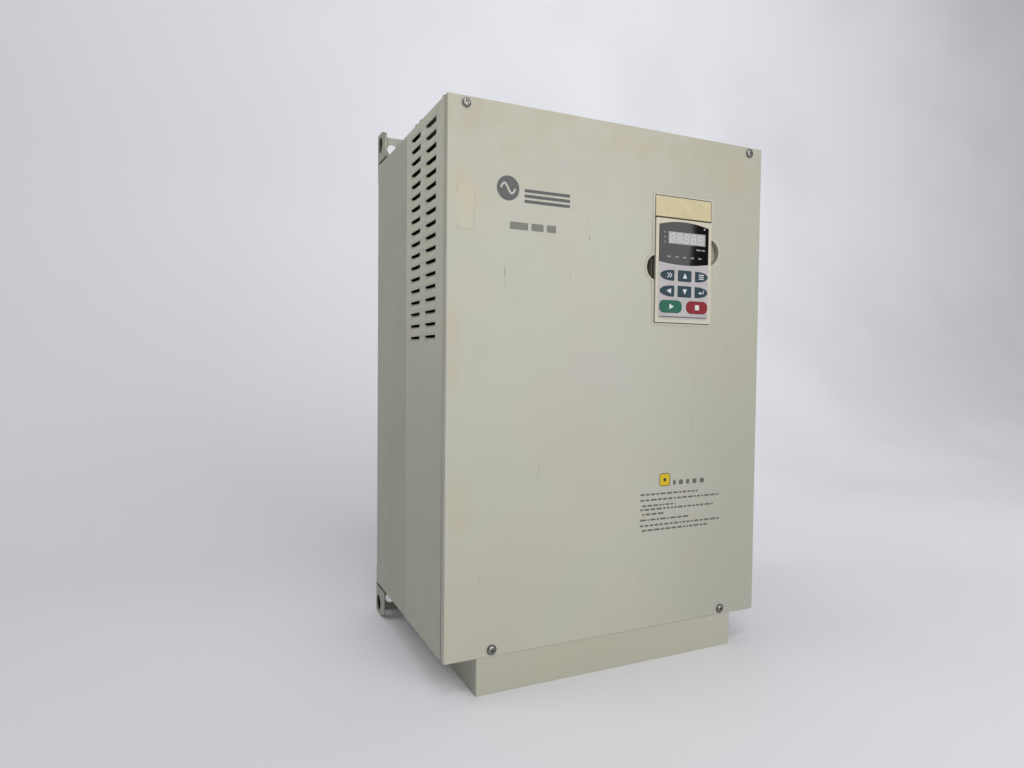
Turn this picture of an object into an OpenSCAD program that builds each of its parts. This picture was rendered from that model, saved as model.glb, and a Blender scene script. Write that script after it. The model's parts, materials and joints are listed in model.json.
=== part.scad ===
// Wall-mounted variable frequency drive in a sheet-metal enclosure.
// Millimetres. +Z is up, the wall is the plane y = +half_d and the front cover faces -Y.
// The origin is under the centre of the enclosure, level with the lower bracket tips.

/* [Enclosure] */
// Width across the front cover
body_w = 370; // [366:1:380]
// Height of the enclosure between its top and bottom panels
body_h = 517; // [515:1:530]
// Depth from the wall to the front cover's face
body_d = 257.5; // [257:0.5:262]
// Depth of the rear box that holds the heatsink
rear_d = 127; // [127:0.5:129]
// Thickness of the panels' sheet metal
sheet_t = 1.5; // [1.2:0.1:1.6]
// Depth of the front cover's folded edge
cover_edge = 8.5; // [6:0.5:10]
// Gap between the cover's folded edge and the side panels
cover_gap = 0.8; // [0.5:0.1:2]

/* [Louvres] */
// Louvres in one column
louvre_rows = 18; // [1:1:20]
// Height from one louvre to the next
louvre_pitch = 12; // [12:0.5:14]
// Length of one louvre
louvre_len = 32; // [20:1:36]
// Height of a louvre's slit
louvre_slit = 2.2; // [1:0.1:2.4]
// How far a louvre's tongue is pressed in
louvre_depth = 3; // [2:0.1:4]

/* [Mounting] */
// Height of a bracket beyond the enclosure's end
bracket_h = 36; // [35:0.5:37]
// Width of a bracket's wall leg
bracket_w = 40; // [36:1:48]
// Depth of a bracket's side leg
bracket_leg = 36; // [32:1:40]
// Thickness of the brackets
bracket_t = 2; // [2:0.1:2.2]
// Distance between the wall bolts across the width
bolt_span_x = 335; // [330:1:336]
// Distance between the wall bolts up the height
bolt_span_z = 560; // [558:1:562]
// Diameter of the wall bolt holes
bolt_hole_d = 13; // [9:0.5:13]
// Diameter of the lifting holes
lifting_hole_d = 18; // [14:0.5:18]

/* [Wiring box] */
// Inset of the wiring box from each side of the enclosure
wiring_inset = 32.3; // [25:0.1:40]
// Depth of the wiring box
wiring_d = 124; // [118:1:128]
// Bore of the power cable grommets
power_bore_d = 28; // [20:1:30]
// Bore of the control cable grommets
control_bore_d = 14; // [10:1:16]

/* [Keypad] */
// Distance from the enclosure's right side to the keypad's right side
keypad_inset = 70.4; // [60:0.1:90]
// Height of the keypad's lower edge above the enclosure's bottom
keypad_rise = 320.5; // [300:0.5:330]
// Width of the keypad
keypad_w = 72.4; // [72:0.1:74]
// Height of the keypad
keypad_h = 108.3; // [108:0.1:110]
// Height of the blank plate above the keypad
blank_h = 21.2; // [18:0.1:24]
// Width of the keypad frame's visible rim
frame_rim = 2.4; // [2:0.1:4]
// Travel of the keys
key_travel = 0.6; // [0.3:0.1:0.6]

/* [Cooling] */
// Side length of a fan's frame
fan_size = 120; // [116:1:120]
// Thickness of a fan
fan_t = 38; // [36:1:38]
// Blades on a fan
fan_blades = 7; // [5:1:9]
// Cooling fins on the heatsink
fin_count = 30; // [10:1:34]

/* [Hidden] */
$fn = 48;
eps = 0.01;
cut_len = 12;

paint = [0.76, 0.76, 0.68];
zinc = [0.80, 0.80, 0.80];
copper = [0.75, 0.45, 0.28];
board_green = [0.10, 0.35, 0.20];
dark_plastic = [0.16, 0.16, 0.17];
slate = [0.17, 0.26, 0.31];

// The enclosure's planes.
half_w = body_w / 2;
cover_screw_head_h = 2.5;
half_d = (body_d + cover_screw_head_h) / 2;
face_y = cover_screw_head_h - half_d;
seam_y = half_d - rear_d;
body_z0 = bracket_h;
body_z1 = bracket_h + body_h;
mid_z = (body_z0 + body_z1) / 2;
panel_y0 = face_y + cover_edge + cover_gap;
louvre_fall = louvre_pitch / 3;
louvre_end_slope = 2.5;
louvre_ys = [face_y + 46.5, face_y + 96];
louvre_top = 10.4;
seam_gap = 0.5;
inner_w = half_w - sheet_t;
back_y = half_d - bracket_t;

// Screws.
cover_screw_r = 2.5;
cover_screw_head_r = 4.6;
cover_screw_x_top = half_w - 18;
cover_screw_x_bottom = half_w - 47.5;
cover_screw_drop = 6.5;
panel_screw_r = 1.5;
panel_screw_x = half_w - 3.6;
panel_screw_ys = [panel_y0 + 5, seam_y - 46.5, seam_y - 30.5];
lip = 12;

// Brackets and their holes.
tip_z = bracket_h + body_h + bracket_h;
lifting_y = half_d - 12;
lifting_rise = 22;
bracket_chamfer = 9;
side_leg_rise = 3;
side_leg_slope = [16, 5];
side_leg_nose = 2;
rivet_r = 2.5;
rivet_xs = [half_w - 12, half_w - 30];
rivet_inset = 9;

// Wiring box and its cable holes.
wiring_w = half_w - wiring_inset;
wiring_y0 = face_y + 1;
wiring_y1 = wiring_y0 + wiring_d;
grommet_flange = 4;
grommet_wall = 2.5;
power_cable_xs = [-96, -34, 28];
control_cable_xs = [84, 118];
cable_y = wiring_y0 + 62;
wiring_rim = 11;
wiring_cut_margin = 14;
gland_screw_inset = 6.5;
gland_screw_margin = 30;

// Keypad, measured from its lower left corner.
keypad_x0 = half_w - keypad_inset - keypad_w;
keypad_z0 = body_z0 + keypad_rise;
bay_gap = 0.7;
bay_w = keypad_w + 2 * bay_gap;
bay_h = keypad_h + blank_h + 4 * bay_gap;
bay_corner = 1.6;
notch_left = [3.6, 56.5];
notch_right = [69.6, 77];
notch_left_r = 13.6;
notch_right_r = 14.2;
notch_left_depth = 13.5;
notch_right_depth = 6;
bay_depth = 23;
frame_wall = 1.8;
frame_lip = 5;
case_corner = 1.2;
case_wall = 1.8;
case_face_y = face_y - 1.7;
case_split_y = face_y + 9.5;
case_back_y = face_y + 19.5;
plug_x = keypad_w / 2;
plug_z = 26;
plug_half = [10.8, 3.8];
socket_grow = [4, 2];
latch_z = [45.5, 68];
latch_depth = [0.2, 6.2];
overlay_t = 0.5;
overlay_y = case_face_y - 0.1;
overlay_inset = 3.9;
overlay_w = keypad_w - 2 * overlay_inset;
display_z0 = 63.1;
display_z1 = 101.4;
display_top_sag = 4.1;
display_low_sag = 2.6;
window_w = 48.6;
window_h = 12.6;
window_x = 40.1;
window_z = 88.7;
key_clear = 0.2;
key_y = case_face_y - 0.7;
key_flange = 0.8;
key_flange_y = case_face_y + 1.7;
board_y = face_y + 6.5;
board_t = 1.6;
dome_h = 1.2;
key_stem_r = 2;
key_stem_gap = key_travel + 0.2;

// Keys: centre x, centre z, width, height.
jog = [14.8, 49.4, 17.4, 10.7];
up = [37.4, 49.4, 17.2, 11.3];
mode = [59.6, 49.5, 16.4, 10.8];
left = [14.7, 33.0, 18.0, 11.2];
down = [37.4, 33.0, 17.4, 11.4];
enter = [59.4, 33.0, 16.6, 11.2];
run = [19.6, 16.8, 28.6, 12.8];
stop = [54.0, 16.8, 27.6, 13.0];
pill_r = 5.6;
square_r = 0.8;
round_left_keys = [jog, left];
round_right_keys = [mode, enter];
square_keys = [up, down];
pill_keys = [run, stop];

// Cooling duct and electronics.
fan_x = 75;
fan_y = (seam_y + sheet_t + half_d - bracket_t - sheet_t) / 2;
fan_z0 = body_z1 - sheet_t - fan_t;
fan_bore_r = fan_size / 2 - 3;
fan_hub_r = 21;
fan_shaft_r = 2;
running_clear = 0.03;
sink_w = 150;
sink_z0 = body_z0 + 75;
sink_h = 320;
sink_base_t = 12;
fin_t = 2;
fin_d = rear_d - bracket_t - 2 * sheet_t - sink_base_t - 4;
window_half_w = 130;
window_z0 = sink_z0 + 20;
window_z1 = sink_z0 + sink_h - 20;
sink_y = seam_y + sheet_t;
module_t = 30;
power_module_xs = [-86, 0, 86];
power_module_z = sink_z0 + 210;
rectifier_z = sink_z0 + 87;
capacitor_xs = [-120, -40, 40, 120];
capacitor_zs = [body_z1 - 116, body_z1 - 46];
capacitor_r = 32;
capacitor_len = 88;
capacitor_post = 5;
post_offset = 12;
terminal_count = 12;
terminal_pitch = 24;
terminal_z = body_z0 + 22;
terminal_h = 40;
terminal_d = 56;

// A flat shape drawn as x, z, given a thickness t from y0 towards the wall.
module upright(y0, t) {
    translate([0, y0 + t, 0]) rotate([90, 0, 0]) linear_extrude(t) children();
}

// A flat shape drawn as y, z, given a thickness t from x0 to the right.
module sideways(x0, t) {
    translate([x0, 0, 0]) rotate([90, 0, 90]) linear_extrude(t) children();
}

// A box between two corners.
module block(low, high) {
    translate(low) cube(high - low);
}

// A round bar along Y, starting at y0.
module bar_y(x, y0, z, r, len) {
    translate([x, y0, z]) rotate([-90, 0, 0]) cylinder(r = r, h = len);
}

module rounded_rect(x0, z0, w, h, r) {
    translate([x0 + r, z0]) square([w - 2 * r, h]);
    translate([x0, z0 + r]) square([w, h - 2 * r]);
    for (x = [x0 + r, x0 + w - r], z = [z0 + r, z0 + h - r]) translate([x, z]) circle(r);
}

// A pan-head screw with a cross recess, its head's seat at the origin and its head up +Z.
module pan_screw(r, len, head_r, head_h) {
    slot = r * 0.32;
    difference() {
        union() {
            translate([0, 0, -len]) cylinder(r = r, h = len);
            cylinder(r = head_r, h = head_h * 0.55);
            translate([0, 0, head_h * 0.55 - eps])
                cylinder(r1 = head_r, r2 = head_r * 0.66, h = head_h * 0.45 + eps);
        }
        for (turn = [0, 90]) rotate([0, 0, turn + 30])
            translate([-head_r * 0.55, -slot, head_h * 0.4]) cube([head_r * 1.1, 2 * slot, head_h]);
    }
}

// --- Front cover and the frame behind it ---

// The keypad frame's outline, grown by d: the bay and its two finger notches.
module frame_outline(d) {
    translate([keypad_x0, keypad_z0]) {
        rounded_rect(-bay_gap - d, -bay_gap - d, bay_w + 2 * d, bay_h + 2 * d, bay_corner + d);
        translate(notch_left) circle(notch_left_r + d);
        translate(notch_right) circle(notch_right_r + d);
    }
}

module cover_screw_places() {
    for (side = [-1, 1]) {
        translate([side * cover_screw_x_top, face_y, body_z1 - cover_screw_drop]) children();
        translate([side * cover_screw_x_bottom, face_y, body_z0 + cover_screw_drop]) children();
    }
}

module front_cover() {
    clearance = 0.15;
    color(paint) difference() {
        block([-half_w, face_y, body_z0], [half_w, face_y + cover_edge, body_z1]);
        block(
            [-inner_w, face_y + sheet_t, body_z0 + sheet_t],
            [inner_w, face_y + cover_edge + eps, body_z1 - sheet_t]
        );
        upright(face_y - eps, sheet_t + 2 * eps) frame_outline(frame_rim + clearance);
        cover_screw_places() bar_y(0, -eps, 0, cover_screw_r + 0.25, sheet_t + 2 * eps);
    }
}

module cover_screws() {
    color(zinc) cover_screw_places() rotate([90, 0, 0])
        pan_screw(cover_screw_r - 0.05, 9, cover_screw_head_r, cover_screw_head_h);
}

module front_frame() {
    ring_y = face_y + sheet_t;
    ring_h = 13;
    rim_d = 24;
    z0 = body_z0 + sheet_t;
    z1 = body_z1 - sheet_t;
    color(zinc) difference() {
        block([-inner_w, ring_y, z0], [inner_w, ring_y + rim_d, z1]);
        block(
            [-inner_w + sheet_t, ring_y + sheet_t, z0 + sheet_t],
            [inner_w - sheet_t, ring_y + rim_d + eps, z1 - sheet_t]
        );
        block(
            [-inner_w + ring_h, ring_y - eps, z0 + ring_h],
            [inner_w - ring_h, ring_y + sheet_t + eps, z1 - ring_h]
        );
        cover_screw_places() bar_y(0, 0, 0, cover_screw_r, sheet_t * 3);
        panel_screw_places() cylinder(r = panel_screw_r, h = cut_len, center = true);
    }
}

// --- Side, top and bottom panels ---

module louvre_places() {
    for (row = [0 : louvre_rows - 1], y = louvre_ys)
        translate([0, y, body_z1 - louvre_top - row * louvre_pitch]) children();
}

// A louvre on a panel whose outer face is x = 0 and whose inside is towards +X. Its origin is
// the middle of the slit's upper edge. This cuts out the slit and the place of its tongue.
module louvre_cut() {
    translate([-eps, -louvre_len / 2, -louvre_slit - louvre_fall])
        cube([sheet_t + 2 * eps, louvre_len, louvre_slit + louvre_fall]);
}

// The hollow in front of the tongue, moved inwards by d. It is deepest at the slit and shallow
// at its lower edge, and its two ends slope.
module louvre_hollow(d) {
    outside = -cut_len / 2;
    high = -louvre_slit;
    low = high - louvre_fall;
    half = louvre_len / 2;
    intersection() {
        translate([0, half + 1, 0]) rotate([90, 0, 0]) linear_extrude(louvre_len + 2) polygon([
            [outside, low],
            [d, low],
            [d + louvre_depth, high],
            [outside, high]
        ]);
        translate([0, 0, low - 1]) linear_extrude(louvre_fall + 2) polygon([
            [outside, -half],
            [d, -half],
            [d + louvre_depth, -half + louvre_end_slope],
            [d + louvre_depth, half - louvre_end_slope],
            [d, half],
            [outside, half]
        ]);
    }
}

// The sheet pressed in below the slit.
module louvre_tongue() {
    difference() {
        louvre_hollow(sheet_t);
        louvre_hollow(0);
        translate([-cut_len, -louvre_len, -louvre_pitch]) cube([cut_len, 2 * louvre_len, louvre_pitch]);
    }
}

// The left side panel; the right one is its mirror image.
module side_panel() {
    lip_y0 = panel_y0 + 20;
    color(paint) translate([-half_w, 0, 0]) {
        difference() {
            block([0, panel_y0, body_z0], [sheet_t, seam_y - seam_gap, body_z1]);
            louvre_places() louvre_cut();
        }
        louvre_places() louvre_tongue();
        block(
            [sheet_t - eps, seam_y - sheet_t, body_z0 + sheet_t],
            [sheet_t + lip, seam_y, body_z1 - sheet_t]
        );
        for (z = [body_z0 + sheet_t, body_z1 - 2 * sheet_t]) difference() {
            block([sheet_t - eps, lip_y0, z], [sheet_t + lip, seam_y - sheet_t + eps, z + sheet_t]);
            translate([half_w, 0, 0]) panel_screw_places()
                cylinder(r = panel_screw_r, h = cut_len, center = true);
        }
    }
}

module side_panel_left() {
    side_panel();
}

module side_panel_right() {
    mirror([1, 0, 0]) side_panel();
}

module panel_screw_places() {
    for (side = [-1, 1], y = panel_screw_ys) {
        translate([side * panel_screw_x, y, body_z1]) children();
        translate([side * panel_screw_x, y, body_z0]) mirror([0, 0, 1]) children();
    }
}

module top_panel() {
    color(paint) difference() {
        block([-inner_w, panel_y0, body_z1 - sheet_t], [inner_w, seam_y, body_z1]);
        panel_screw_places() cylinder(r = panel_screw_r, h = cut_len, center = true);
    }
}

module bottom_panel() {
    color(paint) difference() {
        block([-inner_w, panel_y0, body_z0], [inner_w, seam_y, body_z0 + sheet_t]);
        block(
            [-wiring_w + wiring_cut_margin, wiring_y0 + wiring_cut_margin, body_z0 - eps],
            [wiring_w - wiring_cut_margin, wiring_y1 - wiring_cut_margin, body_z0 + sheet_t + eps]
        );
        panel_screw_places() cylinder(r = panel_screw_r, h = cut_len, center = true);
    }
}

module panel_screws() {
    color(dark_plastic) panel_screw_places() pan_screw(panel_screw_r - 0.05, 6, 3.2, 2.2);
}

// --- Wiring box under the enclosure ---

module wiring_box() {
    wall = sheet_t;
    color(paint) difference() {
        block([-wiring_w, wiring_y0, 0], [wiring_w, wiring_y1, body_z0]);
        block(
            [-wiring_w + wall, wiring_y0 + wall, wall],
            [wiring_w - wall, wiring_y1 - wall, body_z0 - wall]
        );
        block(
            [-wiring_w + wiring_rim, wiring_y0 + wiring_rim, -eps],
            [wiring_w - wiring_rim, wiring_y1 - wiring_rim, body_z0 + eps]
        );
        gland_screw_places() cylinder(r = panel_screw_r, h = cut_len, center = true);
    }
}

module gland_screw_places() {
    x = wiring_w - gland_screw_inset;
    for (side = [-1, 1], y = [wiring_y0 + gland_screw_margin, wiring_y1 - gland_screw_margin])
        translate([side * x, y, 2 * sheet_t]) children();
}

module gland_plate() {
    inset = sheet_t + 0.3;
    color(zinc) difference() {
        block(
            [-wiring_w + inset, wiring_y0 + inset, sheet_t],
            [wiring_w - inset, wiring_y1 - inset, 2 * sheet_t]
        );
        for (x = power_cable_xs) translate([x, cable_y, 0])
            cylinder(r = power_bore_d / 2 + grommet_wall, h = cut_len);
        for (x = control_cable_xs) translate([x, cable_y, 0])
            cylinder(r = control_bore_d / 2 + grommet_wall, h = cut_len);
        gland_screw_places() cylinder(r = panel_screw_r, h = cut_len, center = true);
    }
}

module gland_plate_screws() {
    color(zinc) gland_screw_places() pan_screw(panel_screw_r - 0.05, 2.8, 3, 2);
}

// A rubber ring that grips the gland plate, with a bore of diameter d.
module grommet(d) {
    wall_r = d / 2 + grommet_wall;
    lower_z = 0.3;
    upper_t = 2;
    difference() {
        union() {
            translate([0, 0, lower_z]) cylinder(r = wall_r + grommet_flange, h = sheet_t - lower_z);
            translate([0, 0, sheet_t - eps]) cylinder(r = wall_r, h = sheet_t + 2 * eps);
            translate([0, 0, 2 * sheet_t]) cylinder(r = wall_r + grommet_flange, h = upper_t);
        }
        cylinder(r = d / 2, h = cut_len, center = true);
    }
}

module power_grommets() {
    color(dark_plastic) for (x = power_cable_xs) translate([x, cable_y, 0]) grommet(power_bore_d);
}

module control_grommets() {
    color(dark_plastic) for (x = control_cable_xs) translate([x, cable_y, 0]) grommet(control_bore_d);
}

// --- Rear box, back plate and brackets ---

module rear_box() {
    slot = [44, 7];
    slot_step = [56, 13.5];
    slot_y0 = seam_y + 16;
    color(paint) difference() {
        block([-half_w, seam_y, body_z0], [half_w, back_y - sheet_t, body_z1]);
        block(
            [-inner_w, seam_y - eps, body_z0 + sheet_t],
            [inner_w, back_y, body_z1 - sheet_t]
        );
        for (x = [-fan_x, fan_x]) translate([x, fan_y, body_z1])
            cylinder(r = fan_bore_r, h = cut_len, center = true);
        for (column = [-2 : 2], row = [0 : 6])
            translate([column * slot_step[0] - slot[0] / 2, slot_y0 + row * slot_step[1], body_z0 - eps])
                cube([slot[0], slot[1], sheet_t + 2 * eps]);
    }
}

module back_plate() {
    color(paint) difference() {
        block([-half_w, back_y - sheet_t, body_z0], [half_w, back_y, body_z1]);
        rivet_places() bar_y(0, -cut_len / 2, 0, rivet_r, cut_len);
    }
}

module rivet_places() {
    for (side = [-1, 1], x = rivet_xs, z = [body_z0 + rivet_inset, body_z1 - rivet_inset])
        translate([side * x, half_d, z]) children();
}

module bracket_rivets() {
    grip = bracket_t + sheet_t;
    head_h = 1.5;
    color(zinc) rivet_places() {
        bar_y(0, -grip, 0, rivet_r, grip);
        bar_y(0, -grip - head_h, 0, rivet_r + 1.6, head_h);
    }
}

// The top left bracket: an angle with a wall leg and a side leg; the others are mirrored.
module bracket() {
    root_z = body_z1 - 20;
    side_z = body_z1 + side_leg_rise;
    leg_x1 = -half_w + bracket_w;
    leg_y0 = half_d - bracket_leg;
    color(paint) difference() {
        union() {
            upright(back_y, bracket_t) polygon([
                [-half_w, root_z],
                [leg_x1, root_z],
                [leg_x1, tip_z - bracket_chamfer],
                [leg_x1 - bracket_chamfer, tip_z],
                [-half_w, tip_z]
            ]);
            sideways(-half_w, bracket_t) polygon([
                [leg_y0, side_z],
                [half_d, side_z],
                [half_d, tip_z],
                [leg_y0 + side_leg_slope[0], tip_z],
                [leg_y0 + side_leg_nose, tip_z - side_leg_slope[1]],
                [leg_y0, tip_z - side_leg_slope[1] - side_leg_nose]
            ]);
        }
        translate([-bolt_span_x / 2, half_d, mid_z + bolt_span_z / 2])
            bar_y(0, -cut_len / 2, 0, bolt_hole_d / 2, cut_len);
        translate([-half_w, lifting_y, body_z1 + lifting_rise]) rotate([0, 90, 0])
            cylinder(r = lifting_hole_d / 2, h = cut_len, center = true);
        rivet_places() bar_y(0, -cut_len / 2, 0, rivet_r, cut_len);
    }
}

// A copy of a top part at the same place on the enclosure's bottom.
module at_bottom() {
    translate([0, 0, 2 * mid_z]) mirror([0, 0, 1]) children();
}

module bracket_top_left() {
    bracket();
}

module bracket_top_right() {
    mirror([1, 0, 0]) bracket();
}

module bracket_bottom_left() {
    at_bottom() bracket();
}

module bracket_bottom_right() {
    at_bottom() mirror([1, 0, 0]) bracket();
}

// --- Cooling duct ---

module partition_plate() {
    color(zinc) difference() {
        block(
            [-inner_w, seam_y, body_z0 + sheet_t],
            [inner_w, seam_y + sheet_t, body_z1 - sheet_t]
        );
        block(
            [-window_half_w, seam_y - eps, window_z0],
            [window_half_w, seam_y + sheet_t + eps, window_z1]
        );
    }
}

module heatsink() {
    pitch = (2 * sink_w - fin_t) / (fin_count - 1);
    color([0.72, 0.73, 0.74]) {
        block([-sink_w, sink_y, sink_z0], [sink_w, sink_y + sink_base_t, sink_z0 + sink_h]);
        for (i = [0 : fin_count - 1])
            translate([-sink_w + i * pitch, sink_y + sink_base_t - eps, sink_z0])
                cube([fin_t, fin_d, sink_h]);
    }
}

// A fan's square frame, with the bearing tube that carries the rotor's shaft.
module fan_frame(x) {
    half = fan_size / 2;
    spider_t = 4;
    arm_w = 5;
    corner = half - 7.5;
    color(dark_plastic) translate([x, fan_y, fan_z0]) {
        difference() {
            translate([-half, -half, 0]) cube([fan_size, fan_size, fan_t]);
            cylinder(r = fan_bore_r, h = 3 * fan_t, center = true);
            for (cx = [-corner, corner], cy = [-corner, corner]) translate([cx, cy, 0])
                cylinder(r = 2.2, h = 3 * fan_t, center = true);
        }
        difference() {
            union() {
                cylinder(r = fan_hub_r + 1, h = spider_t);
                cylinder(r = arm_w, h = fan_t / 2);
                for (turn = [45 : 90 : 315]) rotate([0, 0, turn])
                    translate([fan_hub_r - 1, -arm_w / 2, 0])
                        cube([fan_bore_r - fan_hub_r + 3, arm_w, spider_t]);
            }
            cylinder(r = fan_shaft_r + running_clear, h = 3 * fan_t, center = true);
        }
    }
}

module fan_rotor(x) {
    hub_z = 7;
    hub_h = fan_t - 10;
    blade_r = fan_bore_r - 2;
    blade = [44, 2];
    pitch_angle = 38;
    color([0.10, 0.10, 0.11]) translate([x, fan_y, fan_z0]) {
        difference() {
            translate([0, 0, hub_z]) cylinder(r = fan_hub_r, h = hub_h);
            translate([0, 0, hub_z - eps]) cylinder(r = fan_hub_r - 2, h = hub_h - 3);
        }
        translate([0, 0, 1]) cylinder(r = fan_shaft_r, h = hub_z + hub_h - 2);
        intersection() {
            translate([0, 0, hub_z + 1]) difference() {
                cylinder(r = blade_r, h = hub_h - 2);
                translate([0, 0, -eps]) cylinder(r = fan_hub_r - 0.5, h = hub_h);
            }
            union() for (i = [0 : fan_blades - 1]) rotate([0, 0, i * 360 / fan_blades])
                translate([fan_hub_r - 1, 0, hub_z + hub_h / 2]) rotate([pitch_angle, 0, 0])
                    translate([0, -blade[0] / 2, -blade[1] / 2]) cube([blade_r, blade[0], blade[1]]);
        }
    }
}

module fan_left_frame() {
    fan_frame(-fan_x);
}

module fan_left_rotor() {
    fan_rotor(-fan_x);
}

module fan_right_frame() {
    fan_frame(fan_x);
}

module fan_right_rotor() {
    fan_rotor(fan_x);
}

// Wire guards: rings welded on top of four spokes, with a screw tab at each spoke's end.
module fan_guards() {
    wire_r = 1;
    ring_z = 1.7 * wire_r;
    tab_r = fan_bore_r + 9;
    tab_t = 1.5;
    spoke_r0 = 11;
    color(zinc) for (x = [-fan_x, fan_x]) translate([x, fan_y, body_z1 + wire_r]) {
        for (r = [14 : 8 : fan_bore_r + 3])
            translate([0, 0, ring_z]) rotate_extrude() translate([r, 0]) circle(wire_r);
        for (turn = [45 : 90 : 315]) rotate([0, 0, turn]) {
            translate([spoke_r0, 0, 0]) rotate([0, 90, 0]) cylinder(r = wire_r, h = tab_r - spoke_r0);
            translate([tab_r + 4, 0, -wire_r]) difference() {
                cylinder(r = 5, h = tab_t);
                cylinder(r = 2.2, h = cut_len, center = true);
            }
        }
    }
}

// --- Power electronics ---

// A power module: a moulded block with raised screw terminals on its front.
module module_block(x, z, w, h, posts) {
    y0 = sink_y - module_t;
    post = [w * 0.6, 8, 14];
    post_pitch = h / (posts + 1);
    translate([x - w / 2, y0 + post[1], z - h / 2]) cube([w, module_t - post[1], h]);
    for (i = [1 : posts])
        translate([x - post[0] / 2, y0, z - h / 2 + i * post_pitch - post[2] / 2])
            cube([post[0], post[1] + eps, post[2]]);
}

module power_modules() {
    color(dark_plastic) for (x = power_module_xs) module_block(x, power_module_z, 62, 108, 3);
}

module rectifier_modules() {
    color(dark_plastic) for (x = power_module_xs) module_block(x, rectifier_z, 34, 94, 3);
}

module dc_capacitors() {
    y0 = seam_y - capacitor_len;
    color([0.12, 0.16, 0.24]) for (x = capacitor_xs, z = capacitor_zs) {
        bar_y(x, y0, z, capacitor_r, capacitor_len);
        for (side = [-1, 1])
            bar_y(x, y0 - capacitor_post, z + side * post_offset, 5, capacitor_post + 1);
    }
}

module capacitor_clamp() {
    y = seam_y - 62;
    w = 2 * (capacitor_xs[3] + 42);
    z0 = capacitor_zs[0] - 42;
    z1 = capacitor_zs[1] + 40;
    color(zinc) upright(y, sheet_t) difference() {
        translate([-w / 2, z0]) square([w, z1 - z0]);
        for (x = capacitor_xs, z = capacitor_zs) translate([x, z]) circle(capacitor_r + 0.2);
    }
}

module dc_busbars() {
    bar = [capacitor_xs[3] - capacitor_xs[0] + 30, 2, 12];
    y = seam_y - capacitor_len - capacitor_post - bar[1];
    color(copper) for (z = capacitor_zs, side = [-1, 1])
        translate([-bar[0] / 2, y, z + side * post_offset - bar[2] / 2]) cube(bar);
}

module dc_choke() {
    x = -92;
    core = [120, 62, 54];
    z0 = body_z0 + 8;
    yoke = 14;
    limb_w = 26;
    window_w = 24;
    coil_w = 40;
    window_h = core[2] - 2 * yoke;
    color([0.25, 0.25, 0.27]) difference() {
        translate([x - core[0] / 2, sink_y, z0]) cube(core);
        for (side = [-1, 1])
            translate([x + side * (limb_w + window_w) / 2 - window_w / 2, sink_y - eps, z0 + yoke])
                cube([window_w, core[1] + 2 * eps, window_h]);
    }
    color(copper) difference() {
        translate([x - coil_w / 2, sink_y + 2, z0 + yoke + eps])
            cube([coil_w, core[1] - 4, window_h - 2 * eps]);
        translate([x - limb_w / 2 - eps, sink_y, z0]) cube([limb_w + 2 * eps, core[1], core[2]]);
    }
}

module precharge_contactor() {
    x = -122;
    z0 = terminal_z + terminal_h + 6;
    color([0.85, 0.84, 0.80]) {
        block([x - 22, seam_y - 50, z0], [x + 22, seam_y, z0 + 30]);
        block([x - 16, seam_y - 60, z0 + 5], [x + 16, seam_y - 50 + eps, z0 + 25]);
    }
}

module current_sensors() {
    sensor = [26, 34, 16];
    z0 = terminal_z + terminal_h + 8;
    color([0.10, 0.20, 0.45]) for (x = [60 : 32 : 124]) difference() {
        translate([x - sensor[0] / 2, seam_y - sensor[1], z0]) cube(sensor);
        translate([x, seam_y - 18, z0 - eps]) cylinder(r = 8, h = sensor[2] + 2 * eps);
    }
}

module power_terminals() {
    w = terminal_count * terminal_pitch;
    y0 = seam_y - terminal_d;
    barrier = [2.4, 9, terminal_h];
    color(dark_plastic) {
        block([-w / 2, y0, terminal_z], [w / 2, seam_y, terminal_z + terminal_h]);
        for (i = [0 : terminal_count])
            translate([i * terminal_pitch - (w + barrier[0]) / 2, y0 - barrier[1], terminal_z])
                cube(barrier + [0, eps, 0]);
    }
}

module terminal_screws() {
    head_y = seam_y - terminal_d;
    x0 = -(terminal_count - 1) * terminal_pitch / 2;
    color(zinc) for (i = [0 : terminal_count - 1])
        translate([x0 + i * terminal_pitch, head_y, terminal_z + terminal_h / 2]) rotate([90, 0, 0])
            difference() {
                cylinder(r = 6.5, h = 4.5);
                translate([-5, -0.8, 3]) cube([10, 1.6, 3]);
            }
}

module power_board() {
    y = sink_y - module_t - 14;
    color(board_green) {
        block([-125, y, sink_z0 + 28], [125, y + board_t, sink_z0 + 280]);
        for (x = [-90, -35, 30]) block([x, y - 22, sink_z0 + 60], [x + 34, y + eps, sink_z0 + 92]);
        for (x = [-100 : 40 : 100], z = [150, 220])
            bar_y(x, y - 16, sink_z0 + z, 6, 16 + eps);
        for (x = [-112, 112], z = [33.5, 145, 272])
            bar_y(x, y + board_t - eps, sink_z0 + z, 3.5, sink_y - y - board_t + eps);
    }
}

// A shield plate on two folded legs that stand on the partition plate.
module control_plate() {
    y = seam_y - 84;
    w = 142;
    z0 = sink_z0 + 25;
    z1 = sink_z0 + 275;
    color(zinc) {
        block([-w, y, z0], [w, y + sheet_t, z1]);
        for (x = [-w, w - sheet_t]) block([x, y, z0], [x + sheet_t, seam_y, z1]);
    }
}

module control_board() {
    y = seam_y - 94;
    color(board_green) {
        block([-110, y, sink_z0 + 45], [110, y + board_t, sink_z0 + 250]);
        for (x = [-95, 95], z = [60, 235])
            bar_y(x, y + board_t - eps, sink_z0 + z, 3.5, 10 - board_t + eps);
        for (x = [-70, -10, 40]) block([x, y - 3, sink_z0 + 130], [x + 28, y + eps, sink_z0 + 158]);
    }
}

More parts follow.
